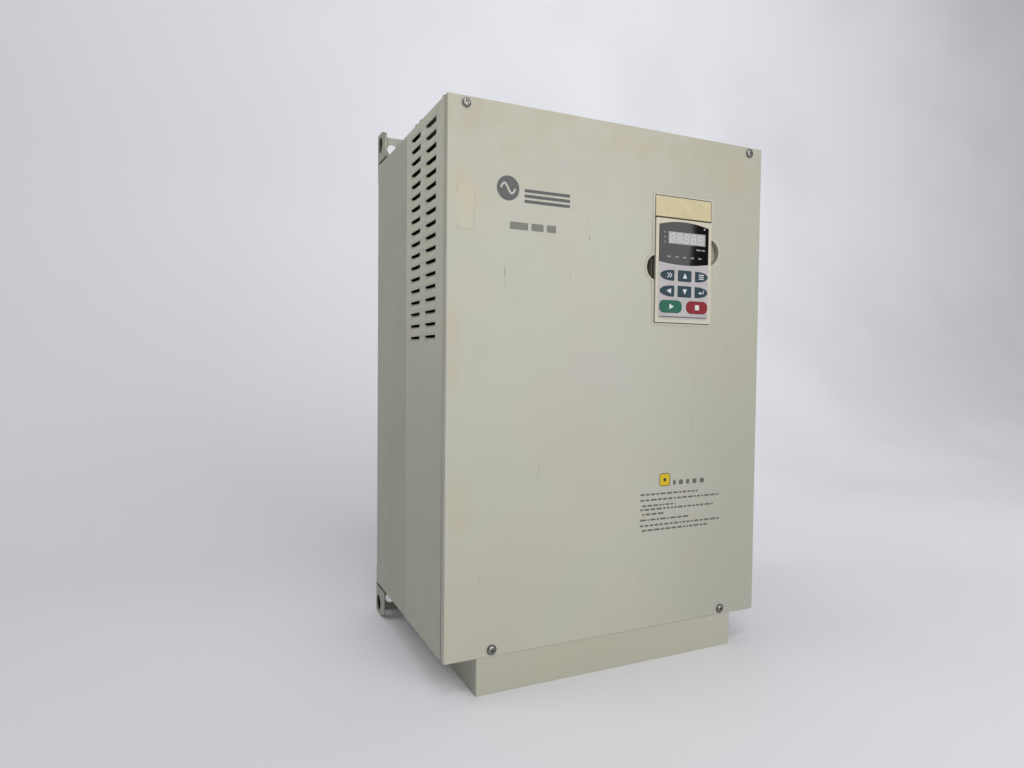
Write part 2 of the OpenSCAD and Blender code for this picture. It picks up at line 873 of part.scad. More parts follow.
module control_terminals() {
    y = seam_y - 94;
    color([0.13, 0.45, 0.22]) for (x = [-96, 4]) difference() {
        block([x, y - 12, sink_z0 + 50], [x + 92, y, sink_z0 + 62]);
        for (i = [0 : 14]) bar_y(x + 4.6 + i * 5.9, y - 12 - eps, sink_z0 + 56, 1.8, 5);
    }
}

// --- Keypad, drawn from its lower left corner ---

module at_keypad() {
    translate([keypad_x0, 0, keypad_z0]) children();
}

module keypad_frame() {
    floor_t = 2;
    rim_h = 0.3;
    rim_y = face_y - rim_h;
    color([0.78, 0.78, 0.71]) difference() {
        union() {
            upright(rim_y, rim_h + notch_left_depth + floor_t) frame_outline(frame_rim);
            upright(face_y + sheet_t, sheet_t) frame_outline(frame_rim + frame_lip);
            at_keypad() upright(face_y, bay_depth + floor_t) rounded_rect(
                -bay_gap - frame_wall,
                -bay_gap - frame_wall,
                bay_w + 2 * frame_wall,
                bay_h + 2 * frame_wall,
                bay_corner + frame_wall
            );
        }
        upright(rim_y - eps, rim_h + notch_right_depth + eps) frame_outline(0);
        at_keypad() {
            upright(rim_y, rim_h + notch_left_depth) translate(notch_left) circle(notch_left_r);
            upright(rim_y, rim_h + bay_depth)
                rounded_rect(-bay_gap, -bay_gap, bay_w, bay_h, bay_corner);
            plug_bar(
                face_y + bay_depth - eps, face_y + bay_depth + floor_t + eps,
                socket_grow + [0.2, 0.2]
            );
        }
    }
}

module keypad_blank() {
    skin = 2;
    front_y = face_y - 0.5;
    depth = 18;
    z0 = keypad_h + 2 * bay_gap;
    color([0.86, 0.79, 0.60]) at_keypad() difference() {
        upright(front_y, depth) rounded_rect(0, z0, keypad_w, blank_h, 0.8);
        block(
            [skin, front_y + skin, z0 + skin],
            [keypad_w - skin, front_y + depth + eps, z0 + blank_h - skin]
        );
    }
}

// The outline of a key, grown by d; side is -1 for a round left end and 1 for a round right end.
module rounded_end(key, side, d) {
    length = key[2] + d;
    half_h = key[3] / 2 + d;
    flat_x = key[0] - side * key[2] / 2;
    translate([flat_x - side * d, key[1]]) polygon([
        for (a = [-90 : 7.5 : 90]) [side * (length + d) * pow(cos(a), 0.8), half_h * sin(a)]
    ]);
}

module plain_key(key, r, d) {
    w = key[2] + 2 * d;
    h = key[3] + 2 * d;
    rounded_rect(key[0] - w / 2, key[1] - h / 2, w, h, r + d);
}

module all_key_outlines(d) {
    for (key = round_left_keys) rounded_end(key, -1, d);
    for (key = round_right_keys) rounded_end(key, 1, d);
    for (key = square_keys) plain_key(key, square_r, d);
    for (key = pill_keys) plain_key(key, pill_r, d);
}

// A key's solid: cap, retaining flange and stem; the two outlines are its children.
module key_solid(key) {
    color(slate) at_keypad() {
        upright(key_y, key_flange_y - key_y + eps) children(0);
        upright(key_flange_y, key_flange) children(1);
        bar_y(key[0], key_flange_y, key[1], key_stem_r, board_y - dome_h - key_stem_gap - key_flange_y);
    }
}

module key_jog() {
    key_solid(jog) {
        rounded_end(jog, -1, 0);
        rounded_end(jog, -1, 0.8);
    }
}

module key_left() {
    key_solid(left) {
        rounded_end(left, -1, 0);
        rounded_end(left, -1, 0.8);
    }
}

module key_mode() {
    key_solid(mode) {
        rounded_end(mode, 1, 0);
        rounded_end(mode, 1, 0.8);
    }
}

module key_enter() {
    key_solid(enter) {
        rounded_end(enter, 1, 0);
        rounded_end(enter, 1, 0.8);
    }
}

module key_up() {
    key_solid(up) {
        plain_key(up, square_r, 0);
        plain_key(up, square_r, 0.8);
    }
}

module key_down() {
    key_solid(down) {
        plain_key(down, square_r, 0);
        plain_key(down, square_r, 0.8);
    }
}

module key_run() {
    key_solid(run) {
        plain_key(run, pill_r, 0);
        plain_key(run, pill_r, 0.8);
    }
}

module key_stop() {
    key_solid(stop) {
        plain_key(stop, pill_r, 0);
        plain_key(stop, pill_r, 0.8);
    }
}

// The dark display area: a band whose upper and lower edges bow outwards.
module display_outline(d) {
    half = overlay_w / 2 + d;
    top_r = (half * half + pow(display_top_sag, 2)) / (2 * display_top_sag);
    low_r = (half * half + pow(display_low_sag, 2)) / (2 * display_low_sag);
    translate([keypad_w / 2, 0]) intersection() {
        translate([-half, 0]) square([2 * half, keypad_h]);
        translate([0, display_z1 + display_top_sag + d - top_r]) circle(top_r, $fn = 200);
        translate([0, display_z0 - display_low_sag - d + low_r]) circle(low_r, $fn = 200);
    }
}

module window_outline(d) {
    translate([window_x - window_w / 2 - d, window_z - window_h / 2 - d])
        square([window_w + 2 * d, window_h + 2 * d]);
}

// The overlay's whole outline: the key field and the display band above it.
module overlay_outline(d) {
    rounded_rect(overlay_inset - d, overlay_inset - d, overlay_w + 2 * d, 66, 2 + d);
    translate([overlay_inset - d, 60]) square([overlay_w + 2 * d, display_z1 - 60]);
    display_outline(d);
}

module keypad_case_front() {
    face_t = 1.6;
    color([0.88, 0.86, 0.78]) at_keypad() difference() {
        upright(case_face_y, case_split_y - case_face_y)
            rounded_rect(0, 0, keypad_w, keypad_h, case_corner);
        block(
            [case_wall, case_face_y + face_t, case_wall],
            [keypad_w - case_wall, case_split_y + eps, keypad_h - case_wall]
        );
        upright(case_face_y - eps, overlay_t - 0.1 + eps) overlay_outline(0.15);
        upright(case_face_y, face_t + eps) all_key_outlines(key_clear);
        upright(case_face_y, face_t + eps) window_outline(0.1);
        latch_block(-eps, case_wall + eps, 0, latch_depth[0], latch_depth[1]);
    }
    color([0.88, 0.86, 0.78]) at_keypad() latch_block(0.3, 1.3, 0.8, latch_depth[0] - eps, 2.6);
}

// A block over the latch's window in the case's left side, shorter by d at its upper end.
module latch_block(x0, x1, d, low_y, high_y) {
    block([x0, face_y + low_y, latch_z[0] - eps], [x1, face_y + high_y, latch_z[1] - d]);
}

module keypad_overlay() {
    color([0.78, 0.77, 0.78]) at_keypad() upright(overlay_y, overlay_t) difference() {
        overlay_outline(0);
        display_outline(0);
        all_key_outlines(key_clear);
    }
}

module display_lens() {
    color([0.08, 0.09, 0.11]) at_keypad() upright(overlay_y, overlay_t) difference() {
        display_outline(0);
        window_outline(0);
    }
}

module display_module() {
    color([0.80, 0.81, 0.82]) at_keypad() {
        upright(overlay_y + 0.25, 3) window_outline(-0.05);
        upright(overlay_y + 3, board_y - overlay_y - 3) window_outline(-0.05);
    }
}

module keypad_board() {
    color(board_green) at_keypad() {
        upright(board_y, board_t) translate([case_wall + 0.4, case_wall + 0.4])
            square([keypad_w - 2 * case_wall - 0.8, keypad_h - 2 * case_wall - 0.8]);
        block([20, board_y + board_t - eps, 70], [34, board_y + board_t + 2, 84]);
    }
}

module key_domes() {
    color(zinc) at_keypad() for (key = concat(round_left_keys, round_right_keys, square_keys, pill_keys))
        translate([key[0], board_y, key[1]]) rotate([90, 0, 0]) difference() {
            cylinder(r = 4, h = dome_h);
            translate([0, 0, -eps]) cylinder(r = 3.4, h = dome_h - 0.3);
        }
}

module keypad_case_rear() {
    color([0.80, 0.79, 0.73]) at_keypad() difference() {
        upright(case_split_y, case_back_y - case_split_y)
            rounded_rect(0, 0, keypad_w, keypad_h, case_corner);
        block(
            [case_wall, case_split_y - eps, case_wall],
            [keypad_w - case_wall, case_back_y - case_wall, keypad_h - case_wall]
        );
        plug_bar(case_back_y - case_wall - eps, case_back_y + eps, [0.2, 0.2]);
    }
}

// A bar with the plug's section from y0 to y1, grown by a margin across and a margin up.
module plug_bar(y0, y1, grow) {
    half = plug_half + grow;
    block([plug_x - half[0], y0, plug_z - half[1]], [plug_x + half[0], y1, plug_z + half[1]]);
}

// The plug on the keypad's back reaches from its board into the socket.
module keypad_plug() {
    color(dark_plastic) at_keypad() plug_bar(board_y + board_t, face_y + bay_depth + 1, [0, 0]);
}

module keypad_socket() {
    y0 = face_y + bay_depth - 2;
    flange_y = face_y + bay_depth + 2;
    color(dark_plastic) at_keypad() difference() {
        union() {
            plug_bar(y0, y0 + 8, socket_grow);
            plug_bar(flange_y, flange_y + 1.5, socket_grow + [3.2, 3.2]);
        }
        plug_bar(y0 - 1, y0 + 5, [0.3, 0.3]);
    }
}

front_cover();
cover_screws();
front_frame();
side_panel_left();
side_panel_right();
top_panel();
bottom_panel();
panel_screws();
wiring_box();
gland_plate();
gland_plate_screws();
power_grommets();
control_grommets();
rear_box();
back_plate();
bracket_top_left();
bracket_top_right();
bracket_bottom_left();
bracket_bottom_right();
bracket_rivets();
partition_plate();
heatsink();
fan_left_frame();
fan_left_rotor();
fan_right_frame();
fan_right_rotor();
fan_guards();
power_modules();
rectifier_modules();
dc_capacitors();
capacitor_clamp();
dc_busbars();
dc_choke();
precharge_contactor();
current_sensors();
power_terminals();
terminal_screws();
power_board();
control_plate();
control_board();
control_terminals();
keypad_frame();
keypad_blank();
keypad_case_front();
keypad_case_rear();
keypad_overlay();
display_lens();
display_module();
keypad_board();
key_domes();
keypad_plug();
keypad_socket();
key_jog();
key_up();
key_mode();
key_left();
key_down();
key_enter();
key_run();
key_stop();
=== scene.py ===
"""The looks of a wall-mounted variable frequency drive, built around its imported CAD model.

Metres, in the CAD model's frame: +Z up, the front cover faces -Y, +X to the right. Places on the
front cover and on the keypad are given as x, z pairs in millimetres.
"""
import json
import math
import random

import bmesh
import bpy
from mathutils import Matrix, Vector


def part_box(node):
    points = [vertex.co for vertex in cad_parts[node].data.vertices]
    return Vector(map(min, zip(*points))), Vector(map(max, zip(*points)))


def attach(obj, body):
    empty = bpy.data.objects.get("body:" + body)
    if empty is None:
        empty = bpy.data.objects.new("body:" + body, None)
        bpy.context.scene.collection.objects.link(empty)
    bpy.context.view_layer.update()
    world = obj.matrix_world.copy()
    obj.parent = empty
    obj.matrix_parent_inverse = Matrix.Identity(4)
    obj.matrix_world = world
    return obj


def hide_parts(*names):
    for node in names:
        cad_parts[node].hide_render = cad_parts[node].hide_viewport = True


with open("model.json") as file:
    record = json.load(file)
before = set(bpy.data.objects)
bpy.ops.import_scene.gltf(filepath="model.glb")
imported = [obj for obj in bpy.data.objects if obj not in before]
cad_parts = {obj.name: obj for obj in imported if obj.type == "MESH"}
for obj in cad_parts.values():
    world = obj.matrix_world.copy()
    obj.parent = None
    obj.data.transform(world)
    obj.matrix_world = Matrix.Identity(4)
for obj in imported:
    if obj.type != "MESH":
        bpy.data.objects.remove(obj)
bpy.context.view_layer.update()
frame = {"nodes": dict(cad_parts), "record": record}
SLOT_OF = {part["node"]: part["material_slot"] for part in frame["record"]["subparts"]}
MM = 0.001
COVER_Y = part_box("front_cover")[0].y
PANEL_FRONT_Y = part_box("side_panel_left")[0].y
SEAM_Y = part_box("rear_box")[0].y

# --- Camera, lights and floor ---

CAMERA_PLACE = Vector((-0.3866, -0.7076, 0.3132))
CAMERA_LOOK = Vector((0.41863, 0.90760, -0.03187))
CAMERA_UP = Vector((0.00411, 0.03320, 0.99944))
CAMERA_LENS = 23.88
SENSOR_WIDTH = 36

# Name, place, the point it faces, width, height and power in watts.
LIGHTS = [
    ("front_light", (0.49, -3.0, 1.55), (0.49, 0.0, 1.2), 4.0, 2.6, 92),
    ("right_light", (2.4, -1.6, 1.9), (0.0, 0.0, 0.35), 1.6, 1.6, 4.5),
    ("window_light", (-1.7, -1.1, 1.8), (-0.2, 0.0, 0.5), 0.9, 0.9, 2),
    ("high_light", (-0.3, -1.2, 2.3), (-0.1, 0.0, 0.5), 1.0, 0.7, 10.5),
    ("floor_light", (-1.4, 0.3, 1.7), (-0.35, -0.1, 0.0), 0.8, 0.8, 7),
    ("backdrop_light", (0.0, 0.2, 2.9), (0.0, 1.3, 0.8), 3.6, 0.8, 8),
]
WORLD_STRENGTH = 0.22

BACKDROP_Y = 1.35
BACKDROP_HEIGHT = 3.4
BACKDROP_CURVE = 0.95
BACKDROP_STEPS = 24
FLOOR_FRONT_Y = -4.5
FLOOR_HALF_WIDTH = 4.5


def linear(r, g, b):
    """A colour given as sRGB from 0 to 255, as Blender's linear colour."""
    channels = []
    for value in (r, g, b):
        v = value / 255
        channels.append(v / 12.92 if v <= 0.04045 else ((v + 0.055) / 1.055) ** 2.4)
    return (*channels, 1.0)


def add_object(name, data):
    item = bpy.data.objects.new(name, data)
    bpy.context.scene.collection.objects.link(item)
    return item


def make_camera():
    camera = add_object("camera", bpy.data.cameras.new("camera"))
    camera.data.lens = CAMERA_LENS
    camera.data.sensor_width = SENSOR_WIDTH
    camera.data.clip_start = 0.01
    camera.location = CAMERA_PLACE
    look = CAMERA_LOOK.normalized()
    right = look.cross(CAMERA_UP).normalized()
    up = right.cross(look)
    camera.rotation_euler = Matrix((right, up, -look)).transposed().to_euler()
    bpy.context.scene.camera = camera


def make_lights():
    for name, place, target, width, height, power in LIGHTS:
        data = bpy.data.lights.new(name, "AREA")
        data.shape = "RECTANGLE"
        data.size = width
        data.size_y = height
        data.energy = power
        light = add_object(name, data)
        light.location = place
        aim = Vector(target) - Vector(place)
        light.rotation_euler = aim.to_track_quat("-Z", "Y").to_euler()
        light.visible_camera = False
    world = bpy.data.worlds.new("world")
    bpy.context.scene.world = world
    world.use_nodes = True
    background = world.node_tree.nodes["Background"]
    background.inputs["Color"].default_value = linear(240, 240, 240)
    background.inputs["Strength"].default_value = WORLD_STRENGTH
    bpy.context.scene.view_settings.view_transform = "Standard"


def make_floor():
    """A pale floor that curves up into a backdrop behind the object, with painted light that makes it
    paler towards +x.
    """
    profile = [(FLOOR_FRONT_Y, 0.0)]
    for i in range(BACKDROP_STEPS + 1):
        angle = math.pi / 2 * i / BACKDROP_STEPS
        y = BACKDROP_Y - BACKDROP_CURVE + BACKDROP_CURVE * math.sin(angle)
        profile.append((y, BACKDROP_CURVE * (1 - math.cos(angle))))
    profile.append((BACKDROP_Y, BACKDROP_HEIGHT))
    points = []
    for y, z in profile:
        points += [(-FLOOR_HALF_WIDTH, y, z), (FLOOR_HALF_WIDTH, y, z)]
    faces = [(2 * i, 2 * i + 1, 2 * i + 3, 2 * i + 2) for i in range(len(profile) - 1)]
    mesh = bpy.data.meshes.new("studio_floor")
    mesh.from_pydata(points, [], faces)
    for polygon in mesh.polygons:
        polygon.use_smooth = True
    floor = add_object("studio_floor", mesh)
    paper = Surface("studio_paper", linear(196, 197, 200), 0.8)
    # Painted light: the paper grows paler towards +x.
    paper.tint(linear(237, 238, 243), paper.fade(paper.x, -1.3, 1.1))
    paper.tint(linear(208, 209, 212), paper.fade(paper.noise(1.6, 2), 0.4, 0.7, 0, 0.3))
    floor.data.materials.append(paper.done())


# --- Material tools ---

class Surface:
    """A Principled material built up by short calls. Noise scales are in features per metre."""

    def __init__(self, name, color, roughness, metallic=0.0, specular=0.5):
        self.material = bpy.data.materials.new(name)
        self.material.use_nodes = True
        self.tree = self.material.node_tree
        self.shader = self.tree.nodes["Principled BSDF"]
        self.shader.inputs["Metallic"].default_value = metallic
        self.shader.inputs["Specular IOR Level"].default_value = specular
        self.place = self.add("ShaderNodeTexCoord").outputs["Object"]
        self.x, self.y, self.z = self.split(self.place)
        self.color = self.add("ShaderNodeRGB").outputs["Color"]
        self.color.default_value = color
        self.roughness = self.add("ShaderNodeValue").outputs["Value"]
        self.roughness.default_value = roughness
        self.normal = None

    def add(self, kind, **settings):
        node = self.tree.nodes.new(kind)
        for key, value in settings.items():
            setattr(node, key, value)
        return node

    def put(self, value, socket):
        """Links an output to a socket, or sets a plain value."""
        if isinstance(value, bpy.types.NodeSocket):
            self.tree.links.new(value, socket)
        else:
            socket.default_value = value

    def split(self, vector):
        node = self.add("ShaderNodeSeparateXYZ")
        self.put(vector, node.inputs["Vector"])
        return node.outputs["X"], node.outputs["Y"], node.outputs["Z"]

    def calc(self, operation, a, b=0.0):
        node = self.add("ShaderNodeMath", operation=operation)
        self.put(a, node.inputs[0])
        self.put(b, node.inputs[1])
        return node.outputs["Value"]

    def times(self, a, b):
        return self.calc("MULTIPLY", a, b)

    def noise(self, scale, detail=3.0, stretch=(1, 1, 1), shift=0.0):
        mapping = self.add("ShaderNodeMapping")
        self.put(self.place, mapping.inputs["Vector"])
        mapping.inputs["Scale"].default_value = stretch
        node = self.add("ShaderNodeTexNoise", noise_dimensions="4D")
        self.put(mapping.outputs["Vector"], node.inputs["Vector"])
        node.inputs["Scale"].default_value = scale
        node.inputs["Detail"].default_value = detail
        node.inputs["W"].default_value = shift
        return node.outputs["Fac"]

    def fade(self, value, low, high, start=0.0, end=1.0):
        """start below low and end above high, with a smooth step between."""
        node = self.add("ShaderNodeMapRange", interpolation_type="SMOOTHSTEP")
        self.put(value, node.inputs["Value"])
        node.inputs["From Min"].default_value = low
        node.inputs["From Max"].default_value = high
        node.inputs["To Min"].default_value = start
        node.inputs["To Max"].default_value = end
        return node.outputs["Result"]

    def spot(self, x, z, half_width, half_height, soft=0.5, lean=0.0):
        """1 inside an ellipse in millimetres on the x, z plane, fading to 0 at its edge."""
        dx = self.calc("SUBTRACT", self.x, x * MM)
        dz = self.calc("SUBTRACT", self.z, z * MM)
        dx = self.calc("SUBTRACT", dx, self.times(dz, lean))
        u = self.calc("POWER", self.calc("ABSOLUTE", self.times(dx, 1 / (half_width * MM))), 2)
        v = self.calc("POWER", self.calc("ABSOLUTE", self.times(dz, 1 / (half_height * MM))), 2)
        return self.fade(self.calc("ADD", u, v), 1 - soft, 1, 1, 0)

    def panel(self, x0, x1, z0, z1, soft):
        """1 inside a rectangle in millimetres on the x, z plane, fading over soft."""
        masks = [
            self.fade(self.x, x0 * MM, (x0 + soft) * MM),
            self.fade(self.x, (x1 - soft) * MM, x1 * MM, 1, 0),
            self.fade(self.z, z0 * MM, (z0 + soft) * MM),
            self.fade(self.z, (z1 - soft) * MM, z1 * MM, 1, 0),
        ]
        result = masks[0]
        for mask in masks[1:]:
            result = self.times(result, mask)
        return result

    def mix(self, kind, suffix, first, second, amount):
        """A mix of two colours or two numbers."""
        node = self.add("ShaderNodeMix", data_type=kind)
        sockets = {socket.identifier: socket for socket in (*node.inputs, *node.outputs)}
        self.put(amount, sockets["Factor_Float"])
        self.put(first, sockets["A_" + suffix])
        self.put(second, sockets["B_" + suffix])
        return sockets["Result_" + suffix]

    def tint(self, color, amount):
        """Moves the colour towards another one by amount."""
        self.color = self.mix("RGBA", "Color", self.color, color, amount)

    def wear(self, amount, roughness):
        """Moves the roughness towards another value by amount."""
        self.roughness = self.mix("FLOAT", "Float", self.roughness, roughness, amount)

    def bump(self, height, depth, strength=1.0):
        """depth is the relief's height in metres."""
        node = self.add("ShaderNodeBump")
        node.inputs["Strength"].default_value = strength
        node.inputs["Distance"].default_value = depth
        self.put(height, node.inputs["Height"])
        if self.normal is not None:
            self.put(self.normal, node.inputs["Normal"])
        self.normal = node.outputs["Normal"]

    def facing(self):
        """The surface's own direction."""
        return self.add("ShaderNodeNewGeometry").outputs["Normal"]

    def upward(self):
        """1 on faces that look up, where dust settles."""
        return self.fade(self.split(self.facing())[2], 0.6, 0.95)

    def edges(self, radius):
        """1 on rounded edges and corners, where paint wears and where edges get grime and painted
        shade.
        """
        bevel = self.add("ShaderNodeBevel", samples=6)
        bevel.inputs["Radius"].default_value = radius
        node = self.add("ShaderNodeVectorMath", operation="DOT_PRODUCT")
        self.put(bevel.outputs["Normal"], node.inputs[0])
        self.put(self.facing(), node.inputs[1])
        return self.fade(node.outputs["Value"], 0.80, 0.98, 1, 0)

    def done(self):
        self.put(self.color, self.shader.inputs["Base Color"])
        self.put(self.roughness, self.shader.inputs["Roughness"])
        if self.normal is not None:
            self.put(self.normal, self.shader.inputs["Normal"])
        return self.material


# --- Materials ---

PAINT = linear(172, 171, 158)
# SHADED_PAINT is the paint in painted shade.
SHADED_PAINT = linear(156, 155, 140)
SCRATCH_WIDTH = 0.8


def powder_coat(name, shift=0.0):
    """Aged beige-grey powder coat: orange peel, soft yellow and pink clouds, grime and dust."""
    s = Surface(name, PAINT, 0.42, specular=0.4)
    s.tint(linear(175, 168, 145), s.fade(s.noise(5, 3, shift=shift), 0.48, 0.74, 0, 0.5))
    s.tint(linear(173, 164, 156), s.fade(s.noise(7, 4, shift=shift + 5), 0.50, 0.76, 0, 0.4))
    s.tint(linear(160, 164, 152), s.fade(s.noise(9, 4, shift=shift + 3), 0.50, 0.78, 0, 0.45))
    streaks = s.fade(s.noise(60, 5, (1, 1, 0.12), shift + 9), 0.60, 0.82, 0, 0.22)
    s.tint(linear(143, 136, 119), streaks)
    specks = s.fade(s.noise(420, 2, shift=shift + 11), 0.74, 0.80, 0, 0.45)
    s.tint(linear(111, 100, 81), specks)
    s.tint(linear(152, 149, 138), s.times(s.upward(), s.fade(s.noise(45, 6), 0.35, 0.7, 0.2, 0.7)))
    worn = s.times(s.edges(1.2 * MM), s.fade(s.noise(130, 4, shift=shift), 0.54, 0.66))
    s.tint(linear(128, 122, 110), s.times(worn, 0.35))
    s.wear(s.fade(s.noise(30, 5, shift=shift + 2), 0.4, 0.7, 0, 0.6), 0.55)
    s.bump(s.noise(900, 2, shift=shift), 0.00008, 0.35)
    s.bump(s.noise(120, 2, shift=shift), 0.0002, 0.10)
    return s


def front_paint():
    """The front cover's paint, with the marks of its years: a label's ghost, rubs and scratches; and
    painted shade.
    """
    s = powder_coat("front_paint", shift=20)
    ragged = s.noise(160, 6, shift=2)
    soft_ragged = s.noise(45, 4, shift=4)
    add_grime_and_shade(s, ragged, soft_ragged)
    add_label_ghost(s, ragged, soft_ragged)
    add_scratches(s, ragged)
    return s.done()


def add_grime_and_shade(s, ragged, soft_ragged):
    """Broad stains, painted shade to the right and low down, blots and rubs. Blots and rubs are x, z,
    half width, half height and strength.
    """
    top_grime = s.times(s.fade(s.z, 0.44, 0.553), s.fade(soft_ragged, 0.32, 0.66, 0.25, 1))
    s.tint(linear(160, 152, 126), s.times(top_grime, 0.42))
    # Painted shade: the cover darkens towards the right, more so low down.
    painted_shade_right = s.times(s.fade(s.x, -0.03, 0.17), s.fade(s.z, 0.10, 0.45, 0.8, 0.45))
    s.tint(linear(150, 149, 137), painted_shade_right)
    # Painted shade: the cover darkens towards the bottom.
    painted_shade_low = s.fade(s.z, 0.32, 0.05)
    s.tint(linear(159, 157, 145), s.times(painted_shade_low, 0.25))

    pink = s.spot(-166, 533, 26, 26, 1.0)
    s.tint(linear(162, 150, 136), s.times(pink, s.fade(ragged, 0.35, 0.65, 0.1, 0.3)))
    for x, z, w, h, amount in (
        (-168, 470, 22, 30, 0.25), (-150, 452, 26, 34, 0.1), (-178, 330, 8, 60, 0.4),
        (-172, 180, 16, 34, 0.35), (150, 520, 34, 22, 0.35), (20, 535, 60, 12, 0.3),
    ):
        blot = s.times(s.spot(x, z, w, h, 1.0), s.fade(soft_ragged, 0.35, 0.7, 0.3, 1))
        s.tint(linear(174, 155, 123), s.times(blot, amount))
    for x, z, w, h, amount in (
        (-64, 503, 13, 10, 0.4), (70, 480, 20, 40, 0.2), (-20, 300, 60, 40, 0.2),
    ):
        rub = s.times(s.spot(x, z, w, h, 1.0), s.fade(ragged, 0.35, 0.65, 0.4, 1))
        s.tint(linear(164, 160, 164), s.times(rub, amount))


def add_label_ghost(s, ragged, soft_ragged):
    """A paler rectangle with a brown outline, where a label was."""
    left, right, bottom, top = -176.5, -157, 432, 477
    edge = 1
    ghost = s.panel(left, right, bottom, top, 3)
    s.tint(linear(185, 176, 147), s.times(ghost, s.fade(soft_ragged, 0.3, 0.6, 0.1, 0.3)))
    middle = s.panel(left + edge, right - edge, bottom + edge, top - edge, 2)
    outline = s.times(ghost, s.calc("SUBTRACT", 1, middle))
    s.tint(linear(138, 117, 93), s.times(outline, s.fade(ragged, 0.42, 0.6, 0, 0.75)))


def add_scratches(s, ragged):
    """Scratches as x, z, half length, lean and strength. A negative strength is a pale scratch."""
    for x, z, half_length, lean, amount in (
        (-36.5, 439, 10, 0.08, 0.5), (-40, 446, 14, 0.10, 0.25), (-30, 456, 9, -0.05, 0.2),
        (-128, 397, 8, 0.02, 0.45), (-127, 386, 3, -0.1, 0.4), (-58, 400, 5, -0.3, 0.45),
        (-114, 371, 4, -1.0, 0.25), (2, 398, 9, 0.25, -0.4), (95, 250, 14, 0.1, 0.2),
        (-90, 210, 18, 0.05, 0.2), (30, 90, 10, 0.3, 0.25), (-150, 120, 16, 0.04, 0.25),
        (140, 330, 12, -0.1, 0.25), (-20, 190, 8, 1.2, 0.2),
    ):
        line = s.times(s.spot(x, z, SCRATCH_WIDTH, half_length, 0.9, lean), s.fade(ragged, 0.36, 0.52))
        shade = linear(102, 96, 85) if amount > 0 else linear(200, 198, 190)
        s.tint(shade, s.times(line, abs(amount)))


def rear_box_paint():
    """Paint with painted shade that darkens it towards the foot, with upright smears."""
    s = powder_coat("rear_box_paint", 8)
    # Painted shade: darker towards the foot.
    s.tint(SHADED_PAINT, s.fade(s.z, 0.1, 0.5, 0.9, 0.5))
    s.tint(linear(135, 133, 118), s.fade(s.noise(22, 4, (1, 1, 0.4)), 0.5, 0.75, 0, 0.3))
    add_seam_dirt_and_shade(s)
    return s.done()


def side_panel_paint(name):
    """Paint that is paler towards the top and darker at the foot, as painted light and painted shade,
    with painted shade on its inner face.
    """
    s = powder_coat(name + "_paint", len(name))
    # Painted light: paler towards the top.
    s.tint(linear(191, 190, 171), s.fade(s.z, 0.25, 0.5, 0.3, 1))
    # Painted shade: darker at the foot.
    s.tint(SHADED_PAINT, s.fade(s.z, 0.1, 0.35, 0.6, 0))
    # Painted shade: the face turned into the drive is made nearly black, so the louvres look dark
    # inside.
    inward = 1 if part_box(name)[0].x < 0 else -1
    inner_face = s.fade(s.times(s.split(s.facing())[0], inward), 0.05, 0.3, 0, 0.9)
    s.tint(linear(30, 28, 24), inner_face)
    add_seam_dirt_and_shade(s)
    return s.done()


def add_seam_dirt_and_shade(s):
    """Grime and painted shade beside the seams that the side panels share with the rear box and with
    the cover.
    """
    low_down = s.fade(s.z, 0.35, 0.06)
    for seam_y, amount in ((SEAM_Y, 0.15), (PANEL_FRONT_Y, s.times(low_down, 0.4))):
        distance = s.calc("ABSOLUTE", s.calc("SUBTRACT", s.y, seam_y))
        near = s.fade(distance, 0.6 * MM, 3 * MM, 1, 0)
        # Grime and painted shade: a dark line along each seam, at the cover only low down.
        seam_grime_and_shade = s.times(near, s.fade(s.noise(60, 4), 0.3, 0.6, 0.5, 1))
        s.tint(linear(84, 80, 70), s.times(seam_grime_and_shade, amount))


def bracket_paint(name):
    """Duller paint, with painted shade and rusty darkening in the fold between the two legs and round
    the lifting holes.
    """
    s = powder_coat(name + "_paint", len(name))
    s.tint(linear(124, 120, 108), s.fade(s.noise(50, 4), 0.3, 0.7, 0.35, 0.75))
    low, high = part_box(name)
    outer_x = low.x if low.x < 0 else high.x
    from_corner = s.calc("ABSOLUTE", s.calc("SUBTRACT", s.x, outer_x))
    leg_front = s.fade(s.y, high.y - 4 * MM, high.y - 3 * MM)
    leg_front = s.times(leg_front, s.fade(s.y, high.y - 1.5 * MM, high.y - 0.7 * MM, 1, 0))
    inside = s.fade(from_corner, 2.1 * MM, 2.6 * MM)
    # Painted shade on a rusty fold: the wall leg's front near the fold is made near-black, and its
    # reflection is taken away.
    fold = s.times(s.fade(from_corner, 9 * MM, 13 * MM, 1, 0), s.times(leg_front, inside))
    rust_and_shade = linear(28, 24, 18)
    s.tint(rust_and_shade, s.times(fold, 0.95))
    s.put(s.fade(fold, 0, 1, 0.4, 0.03), s.shader.inputs["Specular IOR Level"])
    for mount in frame["record"]["mounts"]:
        if mount["name"].startswith("lifting_eyes"):
            dy = s.calc("SUBTRACT", s.y, mount["pos_m"][1])
            dz = s.calc("SUBTRACT", s.z, mount["pos_m"][2])
            distance = s.calc("SQRT", s.calc("ADD", s.times(dy, dy), s.times(dz, dz)))
            rim = mount["dims"]["r_mm"] * MM
            # Painted shade on rusty rims: darker inside and round the lifting holes.
            s.tint(rust_and_shade, s.fade(distance, rim, rim + 0.4 * MM, 0.8, 0))
    return s.done()


def wiring_box_paint():
    """The wiring box's paint, a little darker than the cover's: painted shade."""
    s = powder_coat("wiring_box_paint", 10)
    # Painted shade: the whole box is darkened.
    s.tint(linear(150, 149, 132), 0.4)
    return s.done()


